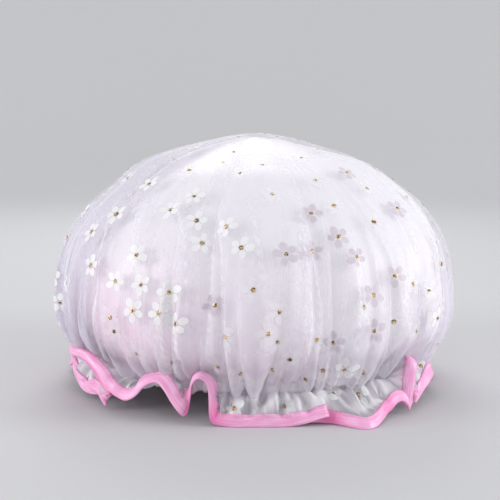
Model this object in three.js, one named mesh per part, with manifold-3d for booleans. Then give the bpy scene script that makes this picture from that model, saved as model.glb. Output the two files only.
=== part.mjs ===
// A puffed shower cap that stands on its ruffle, mouth down. A sheer cover and a smaller waterproof
// lining are gathered together on an elastic, which runs between the lining and a sewn casing tape.
// Below the elastic the cover alone goes on as a ruffle, and a folded satin tape binds its hem.
// Millimetres, +Z up, the front of the cap towards -Y.

import * as THREE from 'three';
import { mergeVertices } from 'three/addons/utils/BufferGeometryUtils.js';
import Module from 'manifold-3d';

const wasm = await Module();
wasm.setup();

// The crown
const crownRadius = 138;
const apexHeight = 174;
const foldDepth = 4.8;

// The mouth, which the elastic holds
const mouthRadius = 115;
const mouthHeight = 22.5;
const mouthPleat = 1;

// The ruffle below it: how far its boldest wave stands out past the elastic
const ruffleFlare = 25;

// The cloths, and the slack by which the lining is smaller than the cover
const coverThickness = 0.4;
const liningThickness = 0.4;
const liningSlack = 5.4;
const clearance = 0.3;

// The elastic and the casing that it runs in
const casingWidth = 8;
const tapeThickness = 0.4;
const elasticWidth = 6;
const elasticThickness = 0.8;
const threadDiameter = 0.6;
const stitchMargin = 0.7;

// The satin binding, folded over the hem, and how much of its lowest waves is flat against the floor
const bindingWidth = 8;
const bindingThickness = 0.5;
const bindingFold = 1;
const bindingClearance = 0.45;
const floorCut = 0.5;

// How much of the light the sheer cover holds back
const coverOpacityShare = 0.6;

// How far the hem's cloth leans out from straight down, in degrees, on the floor and at the height
// of the elastic
const lowLean = 18;
const highLean = 80;

// Up the crown from the casing: share of the crown's radius, share of the rise from the casing to
// the apex, and share of the lining's slack
const lowCrownShares = [
  [0.893, 0.043, 0.4],
  [0.95, 0.093, 0.62],
  [0.985, 0.155, 0.76],
  [1.0, 0.261, 0.88],
  [0.985, 0.403, 0.95],
  [0.953, 0.517, 1.0],
  [0.903, 0.601, 1.0],
];
const highCrownShares = [
  [0.834, 0.687, 1.0],
  [0.727, 0.772, 1.0],
  [0.587, 0.858, 1.0],
  [0.42, 0.914, 1.0],
  [0.2, 0.973, 1.0],
];

// The main folds of the crown, in three sizes: how many go round, share of the crown's length from
// the casing to where they are deepest, share of the fold depth, how far they are bent aside, and
// three slow waves as a count and a start: two that bend the folds and one that fades them
const foldShares = [
  [27, 0.16, 0.48, 1.3, 3, 0.9, 7, 4.4, 5, 2.1],
  [16, 0.265, 0.44, 1.2, 2, 4.0, 5, 1.2, 4, 0.4],
  [9, 0.4, 0.33, 0.9, 2, 2.2, 4, 5.6, 3, 5.1],
];
const foldFadeShare = 0.45;
const foldLeanShare = 0.8;
const valleySoftShare = 0.03;
const lobeMiddleShare = 0.65;
const apexCalmShare = 0.18;

// Where the crown is fuller or flatter than a turned shape: the middle's angle and its distance from
// the apex as a share of the crown's length, how wide in degrees and how tall as such a share, and
// how far out as a share of the fold depth
const swellShares = [
  [-95, 0.482, 40, 0.12, -0.62],
  [-60, 0.281, 50, 0.12, 0.31],
  [35, 0.482, 45, 0.241, -0.12],
  [80, 0.442, 40, 0.161, -0.31],
];

// Where the lining hangs looser, in the same way, as a share of its slack
const looseShares = [
  [-90, 0.442, 32, 0.2, 0.5],
  [-90, 0.823, 17, 0.161, 0.8],
  [88, 0.783, 17, 0.161, 1.1],
  [170, 0.602, 60, 0.2, 0.5],
];

// The waves of the hem, once round from the left: angle at the elastic and angle at the hem in
// degrees from the front, share of the ruffle's flare, share of the elastic's height above the
// floor, and share of the depth of the pleat above it
const hemShares = [
  [-90, -88, 0.6, 0.4, 0.0],
  [-79, -77, 0.6, 0.2, 0.7],
  [-69, -65, 0.5, 0.16, -0.4],
  [-60, -60, 0.42, 0.55, 0.8],
  [-51, -49.5, 0.8, 0.13, -0.6],
  [-45, -45.5, 0.4, 0.55, 0.5],
  [-38, -38, 0.76, 0.42, -0.5],
  [-30, -30.5, 0.44, 1.0, 0.7],
  [-21, -21, 0.52, 0.16, -0.7],
  [-16, -16, 0.85, 1.15, 0.4],
  [-10.5, -12.5, 0.4, 0.05, -0.4],
  [0, 0, 0.5, 0.0, 0.6],
  [10.5, 11, 0.52, 0.0, 0.3],
  [17.5, 18.5, 0.64, 0.3, -1.0],
  [25, 25.5, 1.04, 0.02, 0.6],
  [32, 32, 1.16, 0.0, -0.6],
  [40, 40.5, 0.8, 0.6, -0.2],
  [46, 45.5, 0.96, 0.08, 0.8],
  [51.5, 51, 0.94, 1.1, -0.5],
  [58, 56, 0.7, 0.08, 0.6],
  [68, 67, 0.6, 0.75, -0.6],
  [78, 78, 0.52, 0.1, 0.5],
  [90, 90, 0.5, 0.6, 0.0],
  [102, 101, 0.64, 0.0, 0.7],
  [114, 115, 0.5, 0.85, -0.7],
  [126, 125, 0.84, 0.12, 0.5],
  [138, 139, 0.4, 0.6, -0.5],
  [149, 148, 0.7, 0.0, 0.7],
  [160, 161, 0.55, 0.95, -0.7],
  [170, 170, 0.8, 0.15, 0.5],
  [180, 180, 0.5, 0.0, 0.0],
  [191, 191, 0.5, 0.0, 0.5],
  [203, 203, 0.64, 0.8, -0.6],
  [215, 214, 0.92, 0.1, 0.7],
  [227, 228, 0.5, 1.0, -0.7],
  [238, 237, 0.6, 0.0, 0.5],
  [248, 249, 0.36, 0.5, -0.4],
  [259, 258, 0.7, 0.02, 0.5],
];

const casingTop = mouthHeight + casingWidth / 2;
const casingBottom = mouthHeight - casingWidth / 2;
const hemFloor = bindingClearance + bindingFold;
const bindingLeg = bindingWidth - bindingFold;
const coverHalf = coverThickness / 2;
const threadSides = 5;

function polar(degrees, radius, height) {
  const angle = THREE.MathUtils.degToRad(degrees);
  return new THREE.Vector3(radius * Math.sin(angle), -radius * Math.cos(angle), height);
}

// The value half-way between the second and third of four, on a smooth curve through them all
function halfWay(before, from, to, after) {
  return (9 * (from + to) - before - after) / 16;
}

// Each wave point, and one more half-way to the next
function waveSamples() {
  const samples = [];
  const count = hemShares.length;
  const share = (row, column) => {
    const turns = Math.floor(row / count);
    return hemShares[row - turns * count][column] + (column < 2 ? turns * 360 : 0);
  };
  for (let row = 0; row < count; row += 1) {
    const between = [0, 1, 2, 3, 4].map((column) =>
      halfWay(share(row - 1, column), share(row, column), share(row + 1, column), share(row + 2, column)));
    samples.push(hemShares[row], between);
  }
  return samples.map(([angle, hemAngle, flare, height, fold]) =>
    ({ angle, hemAngle, flare, height: Math.max(height, 0), fold }));
}

const waves = waveSamples();

// The crown's profile from the casing up to the apex: each ring's radius, height, length from the
// casing, slope of its face and share of the lining's slack
function crownProfile() {
  const rise = apexHeight - casingTop;
  const points = [[mouthRadius, casingTop, 0]];
  for (const [radiusShare, riseShare, slackShare] of [...lowCrownShares, ...highCrownShares]) {
    points.push([radiusShare * crownRadius, casingTop + riseShare * rise, slackShare]);
  }
  points.push([0, apexHeight, 1]);
  let length = 0;
  return points.map(([radius, height, slackShare], index) => {
    const [radiusBefore, heightBefore] = points[Math.max(index - 1, 0)];
    const [radiusAfter, heightAfter] = points[Math.min(index + 1, points.length - 1)];
    length += Math.hypot(radius - radiusBefore, height - heightBefore);
    const slope = Math.atan2(radiusBefore - radiusAfter, heightAfter - heightBefore);
    return { radius, height, length, slope, slackShare };
  });
}

const profile = crownProfile();
const crownLength = profile[profile.length - 1].length;

// A rounded wave with a sharp valley, which a fold's cross section follows
function lobe(phase) {
  return 2 * (Math.sqrt(Math.cos(phase / 2) ** 2 + valleySoftShare) - lobeMiddleShare);
}

// How far the main folds move the cloth out and sideways, at a length from the casing
function foldAt(degrees, length) {
  const angle = THREE.MathUtils.degToRad(degrees);
  const slowWave = (count, start) => Math.cos(count * angle + start);
  const calm = Math.min((crownLength - length) / (apexCalmShare * crownLength), 1) ** 2;
  let outward = 0;
  let sideways = 0;
  for (const [count, peak, depth, bend, ...slow] of foldShares) {
    const [firstBend, secondBend, fade] = [0, 2, 4].map((at) => slowWave(slow[at], slow[at + 1]));
    const share = length / (peak * crownLength);
    const envelope = share * Math.exp((1 - share * share) / 2);
    const strength = calm * depth * foldDepth * envelope * (1 + foldFadeShare * fade);
    const phase = count * angle + bend * (firstBend + secondBend);
    outward += strength * lobe(phase);
    sideways += foldLeanShare * strength * Math.sin(phase);
  }
  return { outward, sideways };
}

// The sum of soft bulges from one of the tables above, as a share, at a length from the casing
function bulgeAt(shares, degrees, length) {
  return shares.reduce((total, [middle, place, wide, tall, amount]) => {
    const across = (THREE.MathUtils.euclideanModulo(degrees - middle + 180, 360) - 180) / wide;
    const down = (1 - length / crownLength - place) / tall;
    return total + amount * Math.exp(-across * across - down * down);
  }, 0);
}

// One ring of the crown: its points, which way the cloth faces there, and the lining's slack
function crownRing(angles, { radius, height, length, slope, slackShare }) {
  const points = angles.map((angle) => {
    const { outward, sideways } = foldAt(angle, length);
    const lift = outward + foldDepth * bulgeAt(swellShares, angle, length);
    const turned = angle + THREE.MathUtils.radToDeg(sideways / radius);
    return polar(turned, radius + lift * Math.cos(slope), height + lift * Math.sin(slope));
  });
  const faces = angles.map((angle) => polar(angle, Math.cos(slope), Math.sin(slope)));
  const slacks = angles.map((angle) =>
    liningSlack * (slackShare + bulgeAt(looseShares, angle, length)));
  return { points, faces, slacks };
}

// How far out a pleat of the cloth stands in the casing
function pleatRadius(wave) {
  return mouthRadius + mouthPleat * wave.fold;
}

// The upright stretch of cloth in the casing, at one height
function casingRing(height) {
  const points = waves.map((wave) => polar(wave.angle, pleatRadius(wave), height));
  const faces = waves.map((wave) => polar(wave.angle, 1, 0));
  return { points, faces, slacks: waves.map(() => 0) };
}

// The hem: its points, the way down the cloth there, and the way its face looks
function hemLine() {
  const points = waves.map((wave) =>
    polar(wave.hemAngle, mouthRadius + wave.flare * ruffleFlare, hemFloor + wave.height * mouthHeight));
  const count = points.length;
  const downs = [];
  const faces = [];
  points.forEach((point, index) => {
    const along = points[(index + 1) % count].clone().sub(points[(index + count - 1) % count]).normalize();
    const wave = waves[index];
    const lean = THREE.MathUtils.degToRad(THREE.MathUtils.lerp(lowLean, highLean, wave.height));
    const fall = polar(wave.hemAngle, Math.sin(lean), -Math.cos(lean));
    downs.push(fall);
    faces.push(fall.clone().cross(along).normalize());
  });
  return { points, downs, faces };
}

const hem = hemLine();

// The ring of the cover at the binding's top edge
function bindingTopRing() {
  const points = hem.points.map((point, index) =>
    point.clone().addScaledVector(hem.downs[index], -bindingLeg));
  return { points, faces: hem.faces };
}

// The rings from the apex down. The low ones have one more point between each two.
function crownRings() {
  const angles = waves.map((wave) => wave.angle);
  const between = angles.map((angle, index) =>
    (angle + (index + 1 < angles.length ? angles[index + 1] : angles[0] + 360)) / 2);
  const closeAngles = angles.flatMap((angle, index) => [angle, between[index]]);
  const places = profile.slice(1, -1);
  const low = places.slice(0, lowCrownShares.length).map((place) => crownRing(closeAngles, place));
  const high = places.slice(lowCrownShares.length).map((place) => crownRing(angles, place));
  return [...high.reverse(), ...low.reverse()];
}

// A ring moved off the cloth's middle along its faces, and in by its slack times a weight
function offsetRing(ring, distance, slackWeight) {
  return ring.points.map((point, index) => {
    const slack = slackWeight === 0 ? 0 : slackWeight * ring.slacks[index];
    return point.clone().addScaledVector(ring.faces[index], distance - slack);
  });
}

class Mesher {
  constructor() {
    this.positions = [];
    this.indices = [];
  }

  addPoints(points) {
    const first = this.positions.length / 3;
    points.forEach((point) => this.positions.push(point.x, point.y, point.z));
    return points.map((point, index) => first + index);
  }

  addTriangle(a, b, c, turned) {
    if (turned) this.indices.push(a, c, b);
    else this.indices.push(a, b, c);
  }

  // Joins two rings, of as many points or one with half as many as the other
  addBand(upper, lower, turned) {
    if (lower.length < upper.length) {
      this.addBand(lower, upper, !turned);
      return;
    }
    const step = lower.length / upper.length;
    upper.forEach((corner, index) => {
      const next = upper[(index + 1) % upper.length];
      const from = lower[index * step];
      const to = lower[((index + 1) * step) % lower.length];
      if (step === 1) {
        this.addTriangle(corner, from, to, turned);
      } else {
        const middle = lower[index * step + 1];
        this.addTriangle(corner, from, middle, turned);
        this.addTriangle(corner, middle, to, turned);
      }
      this.addTriangle(corner, to, next, turned);
    });
  }

  addFan(centre, ring, turned) {
    ring.forEach((corner, index) => {
      this.addTriangle(centre, corner, ring[(index + 1) % ring.length], turned);
    });
  }

  geometry() {
    const geometry = new THREE.BufferGeometry();
    geometry.setAttribute('position', new THREE.Float32BufferAttribute(this.positions, 3));
    geometry.setIndex(this.indices);
    geometry.computeVertexNormals();
    return geometry;
  }
}

// A closed cloth: an outer and an inner skin from the apex down the rings, joined at the lower edge
function clothGeometry(rings, outside, inside, slackWeight) {
  const mesher = new Mesher();
  const edges = [outside, inside].map((distance, side) => {
    const apex = new THREE.Vector3(0, 0, apexHeight + distance - slackWeight * liningSlack);
    const centre = mesher.addPoints([apex])[0];
    const skins = rings.map((ring) => mesher.addPoints(offsetRing(ring, distance, slackWeight)));
    mesher.addFan(centre, skins[0], side === 1);
    for (let index = 1; index < skins.length; index += 1) {
      mesher.addBand(skins[index - 1], skins[index], side === 1);
    }
    return skins[skins.length - 1];
  });
  mesher.addBand(edges[0], edges[1], false);
  return mesher.geometry();
}

// Which sides of a section rise to their next corner: a corner's second value is how far down it is
function risingSides(section) {
  return section.map(([, down], corner) => section[(corner + 1) % section.length][1] < down);
}

// A closed loop: one section of points at each sample, all of the same count. The faces that rise
// to the next corner are split the same way as those that fall, so that layers lie alike.
function loopGeometry(sections, rising) {
  const mesher = new Mesher();
  const sides = sections.map((section) => mesher.addPoints(section));
  const corners = sections[0].length;
  for (let corner = 0; corner < corners; corner += 1) {
    const edge = sides.map((side) => side[corner]);
    const nextEdge = sides.map((side) => side[(corner + 1) % corners]);
    if (rising[corner]) mesher.addBand(nextEdge, edge, true);
    else mesher.addBand(edge, nextEdge, false);
  }
  return mesher.geometry();
}

// A flat upright band round the inside of the mouth
function mouthBand(outerRadius, thickness, width) {
  const innerRadius = outerRadius - thickness;
  const half = width / 2;
  const section = [[outerRadius, -half], [outerRadius, half], [innerRadius, half], [innerRadius, -half]];
  const sections = waves.map(({ angle }) =>
    section.map(([radius, down]) => polar(angle, radius, mouthHeight - down)));
  return loopGeometry(sections, risingSides(section));
}

// A round thread along a line of points, with the two ways that its section is drawn in
function threadGeometry(centres, ways, ups) {
  return loopGeometry(centres.map((centre, index) => {
    const section = [];
    for (let side = 0; side < threadSides; side += 1) {
      const turn = (2 * Math.PI * side) / threadSides;
      section.push(centre.clone()
        .addScaledVector(ways[index], (threadDiameter / 2) * Math.cos(turn))
        .addScaledVector(ups[index], (-threadDiameter / 2) * Math.sin(turn)));
    }
    return section;
  }), []);
}

function mouthThread(radius, height) {
  return threadGeometry(
    waves.map(({ angle }) => polar(angle, radius, height)),
    waves.map(({ angle }) => polar(angle, 1, 0)),
    waves.map(() => new THREE.Vector3(0, 0, 1)),
  );
}

function solidOf(geometry) {
  const shell = geometry.clone();
  shell.deleteAttribute('normal');
  shell.deleteAttribute('uv');
  const merged = mergeVertices(shell);
  return new wasm.Manifold(new wasm.Mesh({
    numProp: 3,
    vertProperties: merged.attributes.position.array,
    triVerts: new Uint32Array(merged.index.array),
  }));
}

function geometryOf(solid) {
  const mesh = solid.getMesh();
  const geometry = new THREE.BufferGeometry();
  geometry.setAttribute('position', new THREE.BufferAttribute(mesh.vertProperties, 3));
  geometry.setIndex(new THREE.BufferAttribute(mesh.triVerts, 1));
  geometry.computeVertexNormals();
  return geometry;
}

// Cuts a geometry off flat, a little above its lowest point
function standFlat(geometry, depth) {
  geometry.computeBoundingBox();
  const { min, max } = geometry.boundingBox;
  const floor = new THREE.BoxGeometry(2 * (max.x - min.x), 2 * (max.y - min.y), 2 * depth);
  floor.translate(0, 0, min.z);
  return geometryOf(solidOf(geometry).subtract(solidOf(floor)));
}

// The tape is folded over the hem, and its lowest waves are flat where the cap stands on them
function bindingGeometry() {
  const inner = coverHalf + bindingClearance;
  const outer = inner + bindingThickness;
  const top = bindingClearance - bindingLeg;
  const cleft = bindingClearance;
  const bottom = bindingClearance + bindingFold;
  const section = [
    [outer, top], [outer, bottom], [-outer, bottom], [-outer, top],
    [-inner, top], [-inner, cleft], [inner, cleft], [inner, top],
  ];
  const sections = hem.points.map((point, index) => section.map(([sideways, down]) => point.clone()
    .addScaledVector(hem.faces[index], sideways)
    .addScaledVector(hem.downs[index], down)));
  return standFlat(loopGeometry(sections, risingSides(section)), floorCut);
}

function bindingThread() {
  const sideways = coverHalf + 2 * bindingClearance + bindingThickness + threadDiameter / 2;
  const down = stitchMargin + threadDiameter - bindingLeg;
  return threadGeometry(
    hem.points.map((point, index) => point.clone()
      .addScaledVector(hem.faces[index], sideways)
      .addScaledVector(hem.downs[index], down)),
    hem.faces,
    hem.downs.map((fall) => fall.clone().negate()),
  );
}

function piece(name, geometry, color, roughness, opacity = 1) {
  const transparent = opacity < 1;
  const material = new THREE.MeshStandardMaterial({ color, roughness, metalness: 0, transparent, opacity });
  const mesh = new THREE.Mesh(geometry, material);
  mesh.name = name;
  return mesh;
}

// The cover goes from the apex down to the hem
function coverPiece(crown, casing) {
  const rings = [...crown, ...casing, bindingTopRing(), hem];
  const geometry = clothGeometry(rings, coverHalf, -coverHalf, 0);
  return piece('organza_cover', geometry, 0xe9e6ef, 0.6, coverOpacityShare);
}

// The lining lies inside the cover, the further the more slack a ring has, and ends in the casing
function liningPiece(crown, casing) {
  const outside = -coverHalf - clearance;
  const geometry = clothGeometry([...crown, ...casing], outside, outside - liningThickness, 1);
  return piece('waterproof_lining', geometry, 0xf3eef4, 0.45);
}

// The elastic, its tape and the two rows of stitches, one inside the other
function mouthPieces() {
  const deepestPleat = Math.min(...waves.map(pleatRadius));
  const elasticRadius = deepestPleat - coverHalf - clearance - liningThickness - clearance;
  const tapeRadius = elasticRadius - elasticThickness - clearance;
  const stitchRadius = tapeRadius - tapeThickness - clearance - threadDiameter / 2;
  const stitchRise = casingWidth / 2 - stitchMargin;
  return [
    piece('elastic_band', mouthBand(elasticRadius, elasticThickness, elasticWidth), 0xf2f2f2, 0.8),
    piece('elastic_casing_tape', mouthBand(tapeRadius, tapeThickness, casingWidth), 0xf5f2f4, 0.75),
    piece('casing_stitch_upper', mouthThread(stitchRadius, mouthHeight + stitchRise), 0xffffff, 0.7),
    piece('casing_stitch_lower', mouthThread(stitchRadius, mouthHeight - stitchRise), 0xffffff, 0.7),
  ];
}

function hemPieces() {
  return [
    piece('hem_binding', bindingGeometry(), 0xf3a9cf, 0.35),
    piece('binding_stitch', bindingThread(), 0xf0a0c8, 0.6),
  ];
}

// The origin is under the middle of the cap, on what it stands on
function centred(group) {
  group.updateMatrixWorld(true);
  const box = new THREE.Box3().setFromObject(group, true);
  const middle = box.getCenter(new THREE.Vector3());
  group.position.set(-middle.x, -middle.y, -box.min.z);
  return group;
}

function showerCap() {
  const crown = crownRings();
  const casing = [casingRing(casingTop), casingRing(casingBottom)];
  const group = new THREE.Group();
  group.add(coverPiece(crown, casing), liningPiece(crown, casing), ...mouthPieces(), ...hemPieces());
  return centred(group);
}

export default showerCap();
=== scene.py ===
# %% [markdown]
# # A shower cap, dressed for looks
# The real thing is two cloths gathered on one elastic: a sheer printed organza cover and, a little
# smaller inside it, a milky waterproof film. Below the elastic the organza goes on as a ruffle, and
# a folded satin tape edges it. The CAD solids hold its size and its main folds. Here they give way
# to real cloth: thin single surfaces with their gathers, creases, print and stitches.

import bpy
import numpy as np
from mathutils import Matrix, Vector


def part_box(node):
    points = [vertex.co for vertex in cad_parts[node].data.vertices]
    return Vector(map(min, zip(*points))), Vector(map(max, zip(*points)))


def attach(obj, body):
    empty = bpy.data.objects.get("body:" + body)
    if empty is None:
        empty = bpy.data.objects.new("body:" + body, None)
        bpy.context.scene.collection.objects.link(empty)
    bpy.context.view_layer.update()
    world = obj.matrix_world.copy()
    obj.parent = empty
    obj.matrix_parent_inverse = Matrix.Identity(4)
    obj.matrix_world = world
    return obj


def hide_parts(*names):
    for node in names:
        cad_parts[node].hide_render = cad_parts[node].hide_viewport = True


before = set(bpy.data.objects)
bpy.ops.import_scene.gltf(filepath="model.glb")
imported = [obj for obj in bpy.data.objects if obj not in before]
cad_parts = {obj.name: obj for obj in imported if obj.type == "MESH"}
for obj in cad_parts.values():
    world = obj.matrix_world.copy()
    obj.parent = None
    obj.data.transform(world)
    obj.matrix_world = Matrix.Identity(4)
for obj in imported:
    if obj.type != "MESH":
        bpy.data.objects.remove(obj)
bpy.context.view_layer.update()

# %% [markdown]
# Every place below is measured off the CAD nodes, so the cloth lands where the solids are. The
# elastic gives the mouth, the cover gives the crown, and the tape gives the height of the casing,
# which is the channel that the elastic runs in. The cloth passes just outside the elastic.

# %% Named places
mm = 0.001
turn = 2 * np.pi


def corners(node):
    """The lowest and the highest corner of a CAD node's box."""
    return (np.array(corner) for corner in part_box(node))


cloth_room, fold_stand = 2.2 * mm, 3.35 * mm
elastic_low, elastic_high = corners("elastic_band")
tape_low, tape_high = corners("elastic_casing_tape")
cover_low, cover_high = corners("organza_cover")
axis = (elastic_low + elastic_high)[:2] / 2
elastic_radius = (elastic_high - elastic_low)[0] / 2
tape_radius = (tape_high - tape_low)[0] / 2
casing_top, casing_bottom = tape_high[2], tape_low[2]
cloth_radius = elastic_radius + cloth_room
crown_radius = (cover_high - cover_low)[0] / 2 - fold_stand
apex_height = cover_high[2]
crown_height = apex_height - casing_top
print("mouth radius", round(elastic_radius / mm, 1), "crown radius", round(crown_radius / mm, 1),
      "apex", round(apex_height / mm, 1), "casing", round(casing_bottom / mm, 1), round(casing_top / mm, 1))

# %% [markdown]
# The photograph was taken from slightly above. Its camera is found from the cap itself: the height
# of the mouth's ellipse gives the tilt, and the width of the crown gives the distance. With the
# camera known, any pixel of the photograph can be cast onto the cloth, which is how the waves of the
# ruffle, the creases and the flowers get their places.

# %% The camera and what it sees
photo_pixels = 500
lens, sensor = 85.0, 36.0
lens_pixels = lens / sensor * photo_pixels
distance = 834 * mm
tilt = np.radians(8)
aim = np.array([-2.8, 0, 91.9]) * mm
towards = np.array([0, -np.cos(tilt), np.sin(tilt)])
above = np.array([0, np.sin(tilt), np.cos(tilt)])
eye = aim + distance * towards


def project(points):
    """Pixel across, pixel down and depth: the offset from the eye over its depth, times the lens."""
    offset = points - eye
    depth = -offset @ towards
    across = photo_pixels / 2 + lens_pixels * offset[..., 0] / depth
    down = photo_pixels / 2 - lens_pixels * (offset @ above) / depth
    return across, down, depth


def put(name, data):
    """A new object in the scene, made from a mesh, a light or a camera."""
    made = bpy.data.objects.new(name, data)
    bpy.context.scene.collection.objects.link(made)
    return made


camera_data = bpy.data.cameras.new("camera")
camera_data.lens = lens
camera_data.sensor_width = sensor
camera = put("camera", camera_data)
camera.location = eye
camera.rotation_euler = (np.pi / 2 - tilt, 0, 0)
bpy.context.scene.camera = camera
print("camera at", np.round(eye / mm, 1), "mm")

# %% [markdown]
# Materials are made of nodes. These helpers set or link the inputs of a node, do arithmetic, stretch
# a range of values, mix two colours, read a number off the mesh and start a material.

# %% Shader tools


def feed(socket, value):
    """Sets a socket to a plain value, or links it where the value is another node's output."""
    if isinstance(value, bpy.types.NodeSocket):
        socket.id_data.links.new(value, socket)
    else:
        socket.default_value = value


def set_inputs(node, **values):
    """Sets or links some of a node's inputs by name."""
    for key, value in values.items():
        feed(node.inputs[key.replace("_", " ")], value)
    return node


def add(tree, kind, **values):
    """A new node with some of its inputs set or linked."""
    return set_inputs(tree.nodes.new(kind), **values)


def calculate(tree, operation, *terms):
    """One step of arithmetic on one or two terms, each a number or a node's output."""
    node = tree.nodes.new("ShaderNodeMath")
    node.operation = operation
    for socket, term in zip(node.inputs, terms):
        feed(socket, term)
    return node.outputs[0]


def remap(tree, value, low, high, new_low, new_high):
    """A value moved from one range to another and held inside it."""
    return add(tree, "ShaderNodeMapRange", Value=value, From_Min=low, From_Max=high,
               To_Min=new_low, To_Max=new_high).outputs["Result"]


def mix_colours(tree, factor, first, second):
    """The colour between two: a factor of 0 gives the first and 1 the second."""
    node = tree.nodes.new("ShaderNodeMix")
    node.data_type = "RGBA"
    return set_inputs(node, Factor=factor, A=first, B=second).outputs["Result"]


def stored(tree, name):
    """A number that is kept on the points of the mesh."""
    node = tree.nodes.new("ShaderNodeAttribute")
    node.attribute_name = name
    return node.outputs["Fac"]


def object_place(tree):
    """Object coordinates, in metres."""
    return tree.nodes.new("ShaderNodeTexCoord").outputs["Object"]


def new_material(name, **values):
    """A Principled material, its node tree and its shader, with some of the shader's inputs set."""
    material = bpy.data.materials.new(name)
    material.use_nodes = True
    tree = material.node_tree
    return material, tree, set_inputs(tree.nodes["Principled BSDF"], **values)


print("shader tools ready")

# %% [markdown]
# The stage is a plain pale floor that curves up into a plain backdrop. It is grey enough for a white
# cap to stand out. Far from the lamps it gets less light, so there it is made brighter for the eye
# alone: rays that light the cap don't see that. The sky, too, has one strength for the eye and
# another for the light that it gives.

# %% Stage
bpy.context.scene.view_settings.view_transform = "Standard"
floor_grey, floor_blue, floor_roughness, bend_steps = 0.6, 1.03, 0.8, 24
far_glow, glow_start, glow_full = 0.15, 0.3, 1.7
sky_light, sky_seen, sky_colour = 0.75, 0.54, (0.98, 0.99, 1, 1)


def sweep(width, front, back, height, bend):
    """A strip swept along x: flat floor, a quarter circle of radius bend, then a wall."""
    angles = np.linspace(0, np.pi / 2, bend_steps)
    curve = np.stack([back - bend + bend * np.sin(angles), bend - bend * np.cos(angles)], axis=1)
    line = np.vstack([[front, 0], curve, [back, height]])
    left, right = (np.column_stack([np.full(len(line), side), line]) for side in (-width / 2, width / 2))
    return np.vstack([left, right]), len(line)


def eye_ray(tree):
    """1 for rays from the eye, straight or by way of gloss or glass, and 0 for those that light things."""
    path = tree.nodes.new("ShaderNodeLightPath")
    first = calculate(tree, "MAXIMUM", path.outputs["Is Camera Ray"], path.outputs["Is Glossy Ray"])
    return calculate(tree, "MAXIMUM", first, path.outputs["Is Transmission Ray"])


points, count = sweep(width=8, front=-4, back=2.2, height=3.5, bend=0.9)
steps = np.arange(count - 1)
faces = np.stack([steps, steps + count, steps + count + 1, steps + 1], axis=1)
mesh = bpy.data.meshes.new("stage")
mesh.from_pydata(points.tolist(), [], faces.tolist())
mesh.polygons.foreach_set("use_smooth", np.ones(len(faces), bool))
stage = put("stage", mesh)
floor_colour = (floor_grey, floor_grey, floor_grey * floor_blue, 1)
floor_material, tree, shader = new_material("stage", Base_Color=floor_colour, Roughness=floor_roughness)
reach = tree.nodes.new("ShaderNodeVectorMath")
reach.operation = "LENGTH"
feed(reach.inputs[0], object_place(tree))
glow = remap(tree, reach.outputs["Value"], glow_start, glow_full, 0, far_glow)
glow_seen = calculate(tree, "MULTIPLY", glow, eye_ray(tree))
set_inputs(shader, Emission_Color=(1, 1, 1, 1), Emission_Strength=glow_seen)
mesh.materials.append(floor_material)

world = bpy.data.worlds.new("world")
world.use_nodes = True
tree = world.node_tree
sky_strength = remap(tree, eye_ray(tree), 0, 1, sky_light, sky_seen)
set_inputs(tree.nodes["Background"], Color=sky_colour, Strength=sky_strength)
bpy.context.scene.world = world
print("stage of", len(faces), "strips")

# %% [markdown]
# Three soft square lamps stand at the right, at the left and behind. The beams of the first two are
# narrow, so they light the cap from the sides and don't flood the floor. The one behind brightens the
# top of the cap and its rim.

# %% Lights
lamp_size = 0.6
lamps = [("right", (1.25, -0.3, 0.42), 1.95, 80), ("left", (-1.25, -0.4, 0.4), 1.75, 80),
         ("back", (-0.1, 0.9, 0.9), 4.5, 180)]


def soft_light(name, place, power, spread):
    """A square lamp at a place in metres, turned to the middle of the cap, its beam in degrees."""
    data = bpy.data.lights.new(name, "AREA")
    data.energy, data.size, data.spread = power, lamp_size, np.radians(spread)
    light = put(name, data)
    light.location = place
    way = np.array(place) - aim
    lean = np.arccos(way[2] / np.linalg.norm(way))
    light.rotation_euler = (lean, 0, np.arctan2(way[1], way[0]) + np.pi / 2)


for lamp in lamps:
    soft_light(*lamp)
print(len(lamps), "lamps")

# %% [markdown]
# A few small tools are used by everything that follows. One draws a smooth curve through a table of
# points. One makes slow seeded waves round the cap, so that nothing repeats evenly. Others turn a
# grid of points that goes round the cap into a mesh, closed along its seam.

# %% Curves, meshes and waves
curve_steps = 32


def smooth_curve(points, count, closed=False):
    """A Catmull-Rom curve through the points, sampled evenly by length; gives samples and length."""
    points = np.asarray(points, float)
    if closed:
        ring = np.vstack([points[-1], points, points[:2]])
    else:
        ring = np.vstack([2 * points[0] - points[1], points, 2 * points[-1] - points[-2]])
    a, b, c, d = (part[:, None, :] for part in (ring[:-3], ring[1:-2], ring[2:-1], ring[3:]))
    t = (np.arange(curve_steps) / curve_steps)[None, :, None]
    curve = b + 0.5 * t * (c - a + t * (2 * a - 5 * b + 4 * c - d + t * (3 * (b - c) + d - a)))
    curve = np.vstack([curve.reshape(-1, points.shape[1]), ring[-2]])
    along = np.concatenate([[0], np.cumsum(np.linalg.norm(np.diff(curve, axis=0), axis=1))])
    wanted = np.linspace(0, along[-1], count, endpoint=not closed)
    return np.stack([np.interp(wanted, along, column) for column in curve.T], axis=1), along[-1]


def polar(angle, radius, height):
    """The point at an angle from the front towards the right, a radius off the axis, and a height."""
    x = axis[0] + radius * np.sin(angle)
    y = axis[1] - radius * np.cos(angle)
    return np.stack(np.broadcast_arrays(x, y, height), axis=-1)


def angle_of(points):
    """The angle of points about the cap's axis, from the front towards the right."""
    return np.arctan2(points[..., 0] - axis[0], axis[1] - points[..., 1])


def unit(vectors):
    """Vectors of length 1 in the same directions."""
    return vectors / np.linalg.norm(vectors, axis=-1, keepdims=True)


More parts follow.
